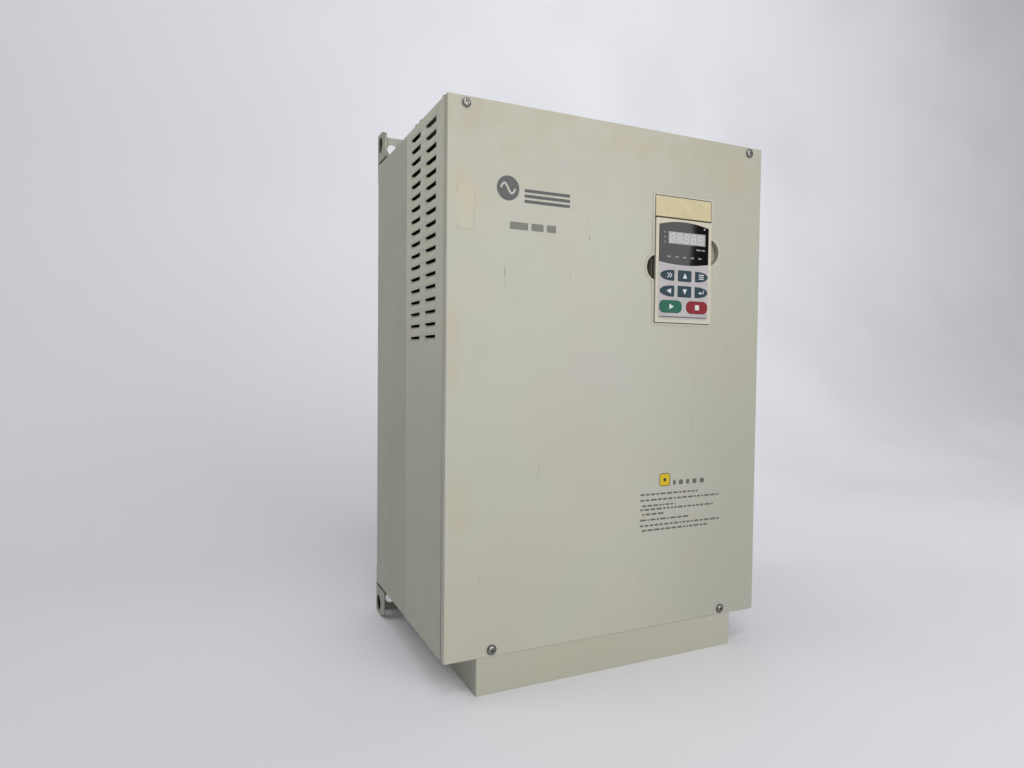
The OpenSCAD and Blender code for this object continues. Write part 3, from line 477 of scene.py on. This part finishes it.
def metal(name, color, roughness, brushed=(1, 1, 1), tarnish=(130, 126, 119)):
    """Metal with soft tarnish. brushed stretches its scratches along an axis."""
    s = Surface(name, linear(*color), roughness, metallic=1.0)
    s.tint(linear(*tarnish), s.fade(s.noise(90, 5), 0.45, 0.75, 0, 0.6))
    s.wear(s.fade(s.noise(260, 4, brushed), 0.4, 0.7, 0, 0.7), min(roughness + 0.18, 1))
    s.bump(s.noise(700, 3, brushed), 0.00003, 0.4)
    return s


def rusty_steel():
    """Small screws that have lost their plating."""
    s = Surface("dark_screws", linear(46, 38, 31), 0.8, specular=0.15)
    s.tint(linear(78, 56, 38), s.fade(s.noise(400, 4), 0.5, 0.7, 0, 0.6))
    s.bump(s.noise(900, 3), 0.00006, 0.5)
    return s.done()


def spangled_zinc():
    """Zinc-plated sheet, with the faint patchwork of its crystals."""
    # Painted shade: the base colour is much darker than bare zinc, so the sheet reads dark in the gaps
    # and behind the slots.
    s = metal("zinc_sheet", (108, 109, 109), 0.38)
    cells = s.add("ShaderNodeTexVoronoi")
    s.put(s.place, cells.inputs["Vector"])
    cells.inputs["Scale"].default_value = 160
    grey = s.split(cells.outputs["Color"])[0]
    s.tint(linear(132, 134, 134), s.times(grey, 0.4))
    s.tint(linear(145, 141, 132), s.times(s.upward(), s.fade(s.noise(60, 5), 0.4, 0.7, 0, 0.5)))
    return s.done()


def moulded(name, color, roughness, grain=1400, relief=0.00004, variation=0.25, shift=0.0):
    """Moulded plastic: a fine spark-eroded grain and slight handling marks."""
    s = Surface(name, linear(*color), roughness)
    darker = linear(*(channel * 0.86 for channel in color))
    s.tint(darker, s.fade(s.noise(30, 5, shift=shift), 0.42, 0.75, 0, variation))
    s.wear(s.fade(s.noise(55, 4, shift=shift + 3), 0.4, 0.7, 0, 0.5), min(roughness + 0.15, 1))
    s.bump(s.noise(grain, 2, shift=shift), relief, 0.35)
    return s


def frame_plastic():
    """The keypad's frame, with painted shade in the gap round the keypad and the blank plate, and in
    its left notch.
    """
    s = moulded("keypad_frame_plastic", (172, 169, 156), 0.5, shift=13)
    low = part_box("keypad_case_front")[0] / MM
    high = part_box("keypad_blank")[1] / MM
    margin = 0.9
    bay = s.panel(low.x - margin, high.x + margin, low.z - margin, high.z + margin, 0.05)
    # Painted shade: the gap round the keypad and the blank plate is made near-black.
    gap = s.times(bay, s.fade(s.y, COVER_Y, COVER_Y + 0.4 * MM))
    s.tint(linear(40, 35, 26), s.times(gap, 0.95))
    # Painted shade: the deep part of the left notch is darkened.
    left_notch = s.fade(s.x, (low.x - 1) * MM, low.x * MM, 0.85, 0.2)
    recessed = s.fade(s.y, COVER_Y + 1 * MM, COVER_Y + 2 * MM)
    s.tint(linear(66, 61, 48), s.times(recessed, left_notch))
    return s.done()


def yellowed_plastic():
    """The blank plate: plastic turned yellow by light, with grime and painted shade on its edges, and
    painted shade on its sides.
    """
    s = moulded("yellowed_plastic", (186, 175, 138), 0.45, grain=1100, relief=0.00008)
    s.tint(linear(171, 152, 105), s.fade(s.noise(95, 6), 0.46, 0.70, 0, 0.35))
    s.tint(linear(196, 190, 160), s.fade(s.noise(150, 5, shift=4), 0.55, 0.72, 0, 0.5))
    s.tint(linear(147, 121, 79), s.fade(s.noise(700, 3, shift=8), 0.68, 0.76, 0, 0.5))
    # Grime and painted shade: dark brown edges.
    s.tint(linear(60, 48, 28), s.times(s.edges(0.8 * MM), 0.75))
    # Painted shade: the sides below the cover's face.
    s.tint(linear(50, 42, 28), s.times(s.fade(s.y, COVER_Y - 0.2 * MM, COVER_Y + 0.4 * MM), 0.9))
    return s.done()


def case_plastic():
    """The keypad's case, with brown edges, and painted shade along its upper edge and on its sides."""
    s = moulded("keypad_case_plastic", (185, 179, 162), 0.42, shift=3)
    s.tint(linear(160, 147, 115), s.times(s.edges(0.8 * MM), 0.35))
    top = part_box("keypad_case_front")[1].z
    # Painted shade: a dark band along the upper edge.
    s.tint(linear(70, 60, 40), s.fade(s.z, top - 0.7 * MM, top - 0.3 * MM, 0, 0.7))
    # Painted shade: the sides sunk behind the cover's face.
    s.tint(linear(44, 40, 30), s.fade(s.y, COVER_Y + 0.5 * MM, COVER_Y + 2 * MM, 0, 0.5))
    return s.done()


def overlay_film():
    """The keypad's printed film: a fine matt texture, greyer between the keys from use."""
    s = Surface("overlay_film", linear(166, 162, 164), 0.5)
    s.tint(linear(152, 147, 141), s.fade(s.noise(70, 5), 0.42, 0.72, 0, 0.5))
    s.tint(linear(177, 172, 160), s.fade(s.noise(24, 3, shift=5), 0.5, 0.75, 0, 0.4))
    s.bump(s.noise(2600, 2), 0.00002, 0.5)
    return s.done()


def display_film():
    """The dark glossy film over the display."""
    s = Surface("display_film", linear(3, 3, 4), 0.035, specular=0.37)
    s.wear(s.fade(s.noise(60, 5), 0.45, 0.75, 0, 0.3), 0.09)
    s.bump(s.noise(240, 2), 0.00002, 0.12)
    return s.done()


def display_face():
    """The pale face of the display, with its digits unlit."""
    s = Surface("display_face", linear(152, 153, 150), 0.35)
    s.tint(linear(138, 140, 136), s.fade(s.noise(120, 4), 0.4, 0.7, 0, 0.5))
    return s.done()


def key_film(name, color):
    """A key's printed top, slightly faded where fingers press it."""
    s = Surface(name, linear(*color), 0.36, specular=0.2)
    paler = linear(*(channel * 0.85 + 26 for channel in color))
    s.tint(paler, s.fade(s.noise(190, 5), 0.45, 0.75, 0, 0.45))
    s.tint(paler, s.times(s.edges(0.5 * MM), 0.4))
    s.wear(s.fade(s.noise(300, 4), 0.4, 0.7), 0.5)
    s.bump(s.noise(2600, 2), 0.00002, 0.5)
    return s.done()


def circuit_board():
    """Green solder mask over a net of tracks."""
    s = Surface("circuit_board", linear(21, 79, 45), 0.3)
    brick = s.add("ShaderNodeTexBrick")
    mapping = s.add("ShaderNodeMapping")
    s.put(s.place, mapping.inputs["Vector"])
    mapping.inputs["Rotation"].default_value = (math.pi / 2, 0, 0)
    s.put(mapping.outputs["Vector"], brick.inputs["Vector"])
    brick.inputs["Scale"].default_value = 210
    brick.inputs["Mortar Size"].default_value = 0.06
    s.tint(linear(34, 107, 60), s.times(brick.outputs["Fac"], 0.7))
    s.tint(linear(13, 57, 32), s.fade(s.noise(40, 4), 0.45, 0.6, 0, 0.6))
    s.bump(brick.outputs["Fac"], 0.00004, 0.5)
    return s.done()


def copper():
    return metal("busbar_copper", (172, 104, 69), 0.28, (1, 1, 12), (113, 64, 45)).done()


def heatsink_aluminium():
    return metal("heatsink_aluminium", (169, 171, 172), 0.36, (1, 1, 0.05), (136, 138, 140)).done()


def capacitor_can():
    """A blue sleeve with a band of worn print round it."""
    s = moulded("capacitor_can", (32, 45, 83), 0.28, grain=300)
    front_y, back_y, blur = -70 * MM, -20 * MM, 0.5 * MM
    band = s.times(s.fade(s.y, front_y, front_y + blur), s.fade(s.y, back_y, back_y + blur, 1, 0))
    printed = s.fade(s.noise(900, 1, (1, 0.1, 1)), 0.5, 0.52, 0, 0.35)
    s.tint(linear(130, 134, 149), s.times(band, printed))
    return s.done()


def choke_core():
    """Varnished laminations."""
    s = Surface("choke_core", linear(53, 50, 47), 0.5, metallic=0.4)
    wave = s.add("ShaderNodeTexWave", bands_direction="Y")
    s.put(s.place, wave.inputs["Vector"])
    wave.inputs["Scale"].default_value = 320
    s.tint(linear(79, 74, 68), s.times(wave.outputs["Fac"], 0.5))
    s.tint(linear(83, 57, 30), s.fade(s.noise(50, 5), 0.5, 0.7, 0, 0.6))
    s.bump(wave.outputs["Fac"], 0.0001, 0.5)
    return s.done()


def rubber():
    """Dusty black rubber."""
    s = Surface("grommet_rubber", linear(26, 26, 27), 0.72, specular=0.3)
    s.tint(linear(62, 60, 57), s.fade(s.noise(120, 5), 0.48, 0.75, 0, 0.6))
    s.bump(s.noise(1200, 2), 0.00006, 0.5)
    return s.done()


def ink(name, color, patchy=0.35):
    """Screen-printed ink, thinned in places."""
    s = Surface(name, linear(*color), 0.55, specular=0.3)
    paler = linear(*(channel * 0.8 + 40 for channel in color))
    s.tint(paler, s.fade(s.noise(500, 5), 0.48, 0.70, 0, patchy))
    return s.done()


MATERIALS = {
    "zinc_screws": metal("zinc_screws", (132, 131, 127), 0.24, tarnish=(62, 59, 52)).done(),
    "dark_screws": rusty_steel(),
    "zinc_sheet": spangled_zinc(),
    "grommet_rubber": rubber(),
    "heatsink_aluminium": heatsink_aluminium(),
    "fan_plastic": moulded("fan_plastic", (34, 34, 36), 0.45, shift=7).done(),
    "component_plastic": moulded("component_plastic", (60, 60, 63), 0.5, shift=9).done(),
    "terminal_plastic": moulded("terminal_plastic", (38, 105, 60), 0.45, shift=11).done(),
    "capacitor_can": capacitor_can(),
    "busbar_copper": copper(),
    "choke_core": choke_core(),
    "circuit_board": circuit_board(),
    "keypad_frame_plastic": frame_plastic(),
    "yellowed_plastic": yellowed_plastic(),
    "keypad_case_plastic": case_plastic(),
    "overlay_film": overlay_film(),
    "display_film": display_film(),
    "display_face": display_face(),
    "key_slate": key_film("key_slate", (34, 55, 64)),
    "key_green": key_film("key_green", (30, 90, 72)),
    "key_red": key_film("key_red", (122, 26, 36)),
}
PALE_INK = powder_coat("pale_ink", 2).done()
DARK_INK = ink("dark_ink", (85, 85, 86))
GREY_INK = ink("grey_ink", (113, 113, 105))
FINE_INK = ink("fine_ink", (86, 86, 81), 0.4)
YELLOW_INK = ink("yellow_ink", (192, 164, 21))
BLACK_INK = ink("black_ink", (38, 38, 38), 0.2)
WHITE_INK = ink("white_ink", (195, 197, 195), 0.15)
FILM_INK = ink("film_ink", (130, 132, 134), 0.2)
SEGMENT_INK = ink("segment_ink", (185, 186, 183), 0.1)


# --- Node finishes ---

# Radii in millimetres of the folds at the outer edges of sheet-metal nodes.
FOLDED = {
    "front_cover": 1.0, "rear_box": 1.0, "wiring_box": 1.0, "top_panel": 0.4, "bottom_panel": 0.4,
    "side_panel_left": 0.5, "side_panel_right": 0.5, "back_plate": 0.3,
}
# Radii in millimetres of all the edges of the other nodes.
ROUNDED = {
    "keypad_frame": 0.5, "keypad_case_front": 0.4, "keypad_case_rear": 0.4, "keypad_blank": 0.35,
    "keypad_overlay": 0.1, "display_lens": 0.1, "power_grommets": 0.4, "control_grommets": 0.4,
}
KEY_ROUND = 0.35
OTHER_ROUND = 0.2
# Edges that turn by more than this are rounded.
SHARP_ANGLE = math.radians(32)
# Vertices closer than this to a plane lie in it. Those ten times closer to each other are one.
TOUCHING = 1e-5
# Nodes whose edges stay as modelled.
UNROUNDED = ("fan_guards", "dc_busbars", "terminal_screws", "key_domes", "panel_screws")


def mark_folds(node):
    """Gives the edges of the node's outer box a bevel weight, and leaves its holes sharp."""
    low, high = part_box(node.name)
    weights = node.data.attributes.new("bevel_weight_edge", "FLOAT", "EDGE")
    planes = []
    for vertex in node.data.vertices:
        on = set()
        for axis in range(3):
            for side, limit in enumerate((low, high)):
                if abs(vertex.co[axis] - limit[axis]) < TOUCHING:
                    on.add((axis, side))
        planes.append(on)
    for edge in node.data.edges:
        shared = planes[edge.vertices[0]] & planes[edge.vertices[1]]
        if len(shared) >= 2:
            weights.data[edge.index].value = 1.0


def painted(name):
    """The paint of a node of the enclosure."""
    if name == "front_cover":
        return front_paint()
    if name == "rear_box":
        return rear_box_paint()
    if name == "wiring_box":
        return wiring_box_paint()
    if name.startswith("side_panel_"):
        return side_panel_paint(name)
    if name.startswith("bracket_"):
        return bracket_paint(name)
    # The length of the name moves the clouds, so that neighbours differ.
    return powder_coat(name + "_paint", len(name)).done()


def finish_node(name, node):
    """Gives a CAD node its material and rounds its edges."""
    slot = SLOT_OF[name]
    if slot == "enclosure_paint":
        material = painted(name)
    else:
        material = MATERIALS[slot]
    node.data.materials.clear()
    node.data.materials.append(material)
    weld = node.modifiers.new("weld", "WELD")
    weld.merge_threshold = TOUCHING / 10
    if name not in UNROUNDED:
        bevel = node.modifiers.new("rounded", "BEVEL")
        bevel.segments = 3
        if name in FOLDED:
            mark_folds(node)
            bevel.width = FOLDED[name] * MM
            bevel.limit_method = "WEIGHT"
        else:
            width = KEY_ROUND if name.startswith("key_") else ROUNDED.get(name, OTHER_ROUND)
            bevel.width = width * MM
            bevel.limit_method = "ANGLE"
            bevel.angle_limit = SHARP_ANGLE
    shade = node.modifiers.new("shade", "WEIGHTED_NORMAL")
    shade.keep_sharp = False
    shade.weight = 80


# --- Shapes ---

# Half the thickness of a print in millimetres: on paint and keys, on top of another print, on the
# keypad's films, and on the face of the display.
FLAT_LIFT = 0.04
OVERPRINT_LIFT = 0.08
FILM_LIFT = 0.03
DIGIT_LIFT = 0.02


def rounded_rectangle(x, z, width, height, radius, steps=5):
    """Points round a rectangle centred on x, z, with round corners."""
    points = []
    for side_x, side_z, start in ((1, 1, 0), (-1, 1, 90), (-1, -1, 180), (1, -1, 270)):
        centre_x = x + side_x * (width / 2 - radius)
        centre_z = z + side_z * (height / 2 - radius)
        for i in range(steps + 1):
            angle = math.radians(start + 90 * i / steps)
            points.append((centre_x + radius * math.cos(angle), centre_z + radius * math.sin(angle)))
    return points


def circle(x, z, radius, steps=64):
    """Points round a circle centred on x, z."""
    angles = [2 * math.pi * i / steps for i in range(steps)]
    return [(x + radius * math.cos(a), z + radius * math.sin(a)) for a in angles]


def ribbon(path, width):
    """The outline of a band of that width along a path of x, z points."""
    left = []
    right = []
    for i, point in enumerate(path):
        before = Vector(path[max(i - 1, 0)])
        after = Vector(path[min(i + 1, len(path) - 1)])
        along = (after - before).normalized()
        across = Vector((-along.y, along.x)) * width / 2
        left.append(tuple(Vector(point) + across))
        right.append(tuple(Vector(point) - across))
    return left + right[::-1]


def dashes(x0, x1, z, height, seed):
    """Short bars of uneven length from x0 to x1, which stand for a line of print."""
    chance = random.Random(seed)
    outlines = []
    x = x0
    while x < x1 - 1:
        width = min(chance.uniform(2.2, 8.0), x1 - x)
        outlines.append(rounded_rectangle(x + width / 2, z, width, height, height * 0.3, 2))
        x += width + height * 0.8
    return outlines


def print_on(name, outlines, surface_y, body, material, lift=FLAT_LIFT, rings=()):
    """A thin printed layer on a surface that faces -Y: flat outlines in millimetres.

    A ring is an outer and an inner outline with the same number of points."""
    builder = bmesh.new()
    front = surface_y - lift * MM
    back = surface_y + lift * MM
    for outline in outlines:
        fronts = [builder.verts.new((x * MM, front, z * MM)) for x, z in outline]
        backs = [builder.verts.new((x * MM, back, z * MM)) for x, z in outline]
        builder.faces.new(fronts)
        builder.faces.new(backs[::-1])
        join_loops(builder, fronts, backs)
    for outer, inner in rings:
        loops = []
        for outline, y in ((outer, front), (inner, front), (inner, back), (outer, back)):
            loops.append([builder.verts.new((x * MM, y, z * MM)) for x, z in outline])
        for first, second in zip(loops, loops[1:] + loops[:1]):
            join_loops(builder, first, second)
    bmesh.ops.recalc_face_normals(builder, faces=builder.faces)
    mesh = bpy.data.meshes.new(name)
    builder.to_mesh(mesh)
    builder.free()
    piece = add_object(name, mesh)
    piece.data.materials.append(material)
    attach(piece, body)


def join_loops(builder, first, second):
    """A ring of faces between two closed loops of vertices."""
    count = len(first)
    for i in range(count):
        j = (i + 1) % count
        builder.faces.new((first[i], first[j], second[j], second[i]))


# --- Prints on the front cover ---

def print_on_cover(name, outlines, material, lift=FLAT_LIFT, rings=()):
    """A printed layer on the front cover."""
    print_on(name, outlines, COVER_Y, "drive", material, lift, rings)


def print_mark():
    """A generic mark: a disc crossed by one period of a wave, three plain stripes and three bars."""
    x, z = -125, 475
    print_on_cover("front_mark", [circle(x, z, 11.5)], DARK_INK)
    wave_length, wave_height, steps = 15, 4.6, 32
    wave = []
    for i in range(steps + 1):
        turn = i / steps
        rise = wave_height * math.sin(2 * math.pi * turn)
        wave.append((x + wave_length * (turn - 0.5), z + rise))
    print_on_cover("front_mark_wave", [ribbon(wave, 1.9)], PALE_INK, OVERPRINT_LIFT)
    stripes = [rounded_rectangle(-83.5, stripe_z, 49, 3, 0.5) for stripe_z in (464.6, 469.6, 474.6)]
    print_on_cover("front_stripes", stripes, DARK_INK)
    bars = []
    for bar_x, width in ((-113.5, 19), (-94, 13), (-79, 10)):
        bars.append(rounded_rectangle(bar_x, 441, width, 7, 0.8))
    print_on_cover("front_bars", bars, GREY_INK)


def print_notice():
    """A plain yellow sign with a title and a block of lines that can't be read."""
    x, z, size, rim = 59.7, 191, 13.6, 0.7
    outer = rounded_rectangle(x, z, size, size, 2.6)
    inner = rounded_rectangle(x, z, size - 2 * rim, size - 2 * rim, 1.9)
    print_on_cover("notice_sign", [outer], YELLOW_INK)
    print_on_cover("notice_sign_rim", [circle(x, z, 1.9)], BLACK_INK, OVERPRINT_LIFT, [(outer, inner)])
    print_on_cover("notice_title", dashes(70.6, 112.4, 187.4, 5.2, seed=3), FINE_INK)
    left, indent = 29, 31.5
    rows = (
        (left, 104, 176.6), (left, 134, 170.7), (indent, 74, 164.8), (left, 125, 160.8),
        (indent, 60, 155.8), (left, 93, 149.9), (left, 134, 144.0), (indent, 119, 139.0),
    )
    lines = []
    for row, (start, end, row_z) in enumerate(rows):
        lines += dashes(start, end, row_z, 1.9, seed=10 + row)
    print_on_cover("notice_lines", lines, FINE_INK)


# --- Keypad prints ---

def segment_digit(x, z, width, height):
    """The seven segments and the point of one digit, leaning to the right."""
    stroke = 1.25
    gap = 0.25
    lean = 0.12
    half_w = width / 2 - stroke / 2
    half_h = height / 2 - stroke / 2
    outlines = []
    for level in (-1, 0, 1):
        level_z = level * half_h
        outlines.append(bar_segment(-half_w + gap, level_z, half_w - gap, level_z, stroke))
    for side in (-1, 1):
        for low, high in ((-half_h, 0), (0, half_h)):
            outlines.append(bar_segment(side * half_w, low + gap, side * half_w, high - gap, stroke))
    outlines.append(circle(half_w + 1.5, -half_h, 0.62, 16))
    return [[(x + px + pz * lean, z + pz) for px, pz in outline] for outline in outlines]


def bar_segment(x0, z0, x1, z1, stroke):
    """A six-sided segment with pointed ends between two points."""
    start, end = Vector((x0, z0)), Vector((x1, z1))
    along = (end - start).normalized()
    across = Vector((-along.y, along.x)) * stroke / 2
    inset = along * stroke / 2
    upper = (start + inset + across, end - inset + across)
    lower = (end - inset - across, start + inset - across)
    return [tuple(point) for point in (start, *upper, end, *lower)]


def print_display():
    """The unlit digits, and on the film the marks round them and the lamp."""
    low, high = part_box("display_module")
    x0, x1 = low.x / MM, high.x / MM
    z = (low.z + high.z) / 2 / MM
    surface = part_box("display_lens")[0].y
    count, side_room = 5, 2.4
    digit_width, digit_height = 6.2, 9.8
    pitch = (x1 - x0 - side_room) / count
    digits = []
    for i in range(count):
        digits += segment_digit(x0 + 1.0 + (i + 0.45) * pitch, z, digit_width, digit_height)
    print_on("display_segments", digits, low.y, "keypad", SEGMENT_INK, DIGIT_LIFT)

    marks = [rounded_rectangle(x0 - 4.7, z + rise, 1.6, 2.0, 0.5, 3) for rise in (5.2, 0, -5.1)]
    marks += [rounded_rectangle(x, 425.4, 4.4, 1.5, 0.4, 3) for x in (58.8, 69.2, 79.3, 89.3, 99.4)]
    marks += dashes(94.5, 106, 434.4, 1.5, seed=5)
    print_on("display_marks", marks, surface, "keypad", FILM_INK, FILM_LIFT)
    lamp = circle(105, 456.9, 0.9, 20)
    print_on("display_lamp", [lamp], surface, "keypad", WHITE_INK, FILM_LIFT)


def triangle(x, z, size, angle):
    """An arrowhead that points along angle, in degrees from +x."""
    points = []
    for turn in (0, 128, 232):
        direction = math.radians(angle + turn)
        points.append((x + size * math.cos(direction), z + size * math.sin(direction)))
    return points


def key_symbols():
    """White symbols, by key, drawn about the key's centre."""
    play = [triangle(0.4, 0, 3.6, 0)]
    square = [rounded_rectangle(0, 0, 5.4, 5.4, 0.5, 2)]
    chevrons = [ribbon([(x - 1.2, 2.3), (x + 1.2, 0), (x - 1.2, -2.3)], 1.1) for x in (1.2, 4.2)]
    bars = [rounded_rectangle(-0.5, z, 6.6, 1.0, 0.3, 2) for z in (2.1, 0, -2.1)]
    enter = [ribbon([(3.0, 2.4), (3.0, -0.6)], 1.0), ribbon([(3.5, -0.6), (-1.2, -0.6)], 1.0)]
    enter.append(triangle(-2.0, -0.6, 2.1, 180))
    return {
        "key_up": [triangle(0, -0.4, 3.5, 90)],
        "key_down": [triangle(0, 0.4, 3.5, 270)],
        "key_left": [triangle(2.6, 0, 3.5, 180)],
        "key_jog": chevrons,
        "key_mode": bars,
        "key_enter": enter,
        "key_run": play,
        "key_stop": square,
    }


def print_keys():
    """A symbol on each key, which rides on it."""
    for key, outlines in key_symbols().items():
        low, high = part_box(key)
        x = (low.x + high.x) / 2 / MM
        z = (low.z + high.z) / 2 / MM
        placed = [[(x + px, z + pz) for px, pz in outline] for outline in outlines]
        print_on(key.replace("key_", "symbol_"), placed, low.y, key, WHITE_INK)


def print_overlay():
    """A dark line below the keys."""
    low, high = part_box("keypad_overlay")
    x0, x1 = low.x / MM, high.x / MM
    side_room = 3.4
    line = rounded_rectangle((x0 + x1) / 2, 362.6, x1 - x0 - side_room, 1.2, 0.2, 2)
    print_on("keypad_line", [line], low.y, "keypad", DARK_INK, FILM_LIFT)


# --- Cover screws ---

def cross_recess(radius):
    """A tapered cross that cuts the recess of a screw whose head has that radius."""
    reach_at_mouth, reach_at_floor = radius * 0.56, radius * 0.34
    half_width = radius * 0.115
    above_head, floor = 0.4, -1.7
    mesh = bpy.data.meshes.new("cross")
    builder = bmesh.new()
    for turn in (0, 90):
        rotation = Matrix.Rotation(math.radians(turn), 3, "Z")
        points = []
        for z, reach in ((above_head, reach_at_mouth), (floor, reach_at_floor)):
            for side_x, side_y in ((1, 1), (-1, 1), (-1, -1), (1, -1)):
                corner = Vector((side_x * reach, side_y * half_width, z))
                points.append(builder.verts.new(rotation @ corner))
        builder.faces.new(points[:4])
        builder.faces.new(points[4:][::-1])
        for i in range(4):
            j = (i + 1) % 4
            builder.faces.new((points[i], points[4 + i], points[4 + j], points[j]))
    bmesh.ops.recalc_face_normals(builder, faces=builder.faces)
    builder.to_mesh(mesh)
    builder.free()
    return mesh


def make_cover_screws():
    """Domed cover screws with a cross recess and a spring washer, in place of the plain ones."""
    low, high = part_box("cover_screws")
    head_y = low.y / MM
    face_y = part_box("front_cover")[0].y / MM
    height = face_y - head_y
    radius = 4.4
    dome = ((0, 0), (1.4, 0), (2.6, 0.16), (3.5, 0.55), (4.1, 1.1), (radius, 1.7))
    profile = [(reach, height - drop) for reach, drop in dome]
    washer = [(radius, 0.62), (4.2, 0.55), (5.0, 0.52), (5.05, 0.06), (5.0, 0.0)]
    shank = [(2.3, 0.0), (2.3, -8.5), (1.8, -9.2), (0, -9.2)]
    profile += washer + shank
    stand = Matrix.Rotation(math.pi / 2, 4, "X") @ Matrix.Scale(MM, 4)
    screws = bmesh.new()
    for side in (-1, 1):
        for top in (True, False):
            centre = cover_screw_place(side, top, low, high)
            one = lathe(profile)
            # Each cross stands at its own angle, as tightening leaves it.
            cut_recess(one, radius, height, turn=17 + 31 * side + (40 if top else 0))
            one.transform(Matrix.Translation(centre) @ stand)
            screws.from_mesh(one)
    mesh = bpy.data.meshes.new("cover_screw_set")
    screws.to_mesh(mesh)
    screws.free()
    piece = add_object("cover_screw_set", mesh)
    piece.data.materials.append(MATERIALS["zinc_screws"])
    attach(piece, "drive")
    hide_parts("cover_screws")


def cover_screw_place(side, top, low, high):
    """The centre of a head's seat. The upper screws are further apart than the lower ones."""
    head_radius, lower_inset = 4.6 * MM, 29.5 * MM
    if top:
        x, z = high.x - head_radius, high.z - head_radius
    else:
        x, z = high.x - head_radius - lower_inset, low.z + head_radius
    return Vector((side * x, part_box("front_cover")[0].y, z))


def lathe(profile, steps=40):
    """A mesh turned about +Z from points of radius and height in millimetres."""
    builder = bmesh.new()
    angles = [2 * math.pi * i / steps for i in range(steps)]
    rings = []
    for radius, height in profile:
        if radius == 0:
            rings.append([builder.verts.new((0, 0, height))])
        else:
            points = [(radius * math.cos(a), radius * math.sin(a), height) for a in angles]
            rings.append([builder.verts.new(point) for point in points])
    for first, second in zip(rings, rings[1:]):
        for i in range(steps):
            j = (i + 1) % steps
            # A ring that is a single point gives its corner twice, and the face becomes a triangle.
            around = ((first, i), (first, j), (second, j), (second, i))
            corners = [ring[k % len(ring)] for ring, k in around]
            builder.faces.new(list(dict.fromkeys(corners)))
    bmesh.ops.recalc_face_normals(builder, faces=builder.faces)
    mesh = bpy.data.meshes.new("turned")
    builder.to_mesh(mesh)
    builder.free()
    return mesh


def cut_recess(mesh, radius, height, turn):
    """Cuts the cross recess into a screw's mesh."""
    screw = add_object("screw_blank", mesh)
    cutter = add_object("recess_cutter", cross_recess(radius))
    cutter.location = (0, 0, height)
    cutter.rotation_euler = (0, 0, math.radians(turn))
    modifier = screw.modifiers.new("recess", "BOOLEAN")
    modifier.operation = "DIFFERENCE"
    modifier.solver = "EXACT"
    modifier.use_self = True
    modifier.object = cutter
    bpy.context.view_layer.update()
    graph = bpy.context.evaluated_depsgraph_get()
    cut = bpy.data.meshes.new_from_object(screw.evaluated_get(graph))
    mesh.clear_geometry()
    builder = bmesh.new()
    builder.from_mesh(cut)
    builder.to_mesh(mesh)
    builder.free()
    bpy.data.objects.remove(screw)
    bpy.data.objects.remove(cutter)


make_camera()
make_lights()
make_floor()

for node_name, node_object in frame["nodes"].items():
    finish_node(node_name, node_object)
print_mark()
print_notice()
print_display()
print_overlay()
print_keys()
make_cover_screws()
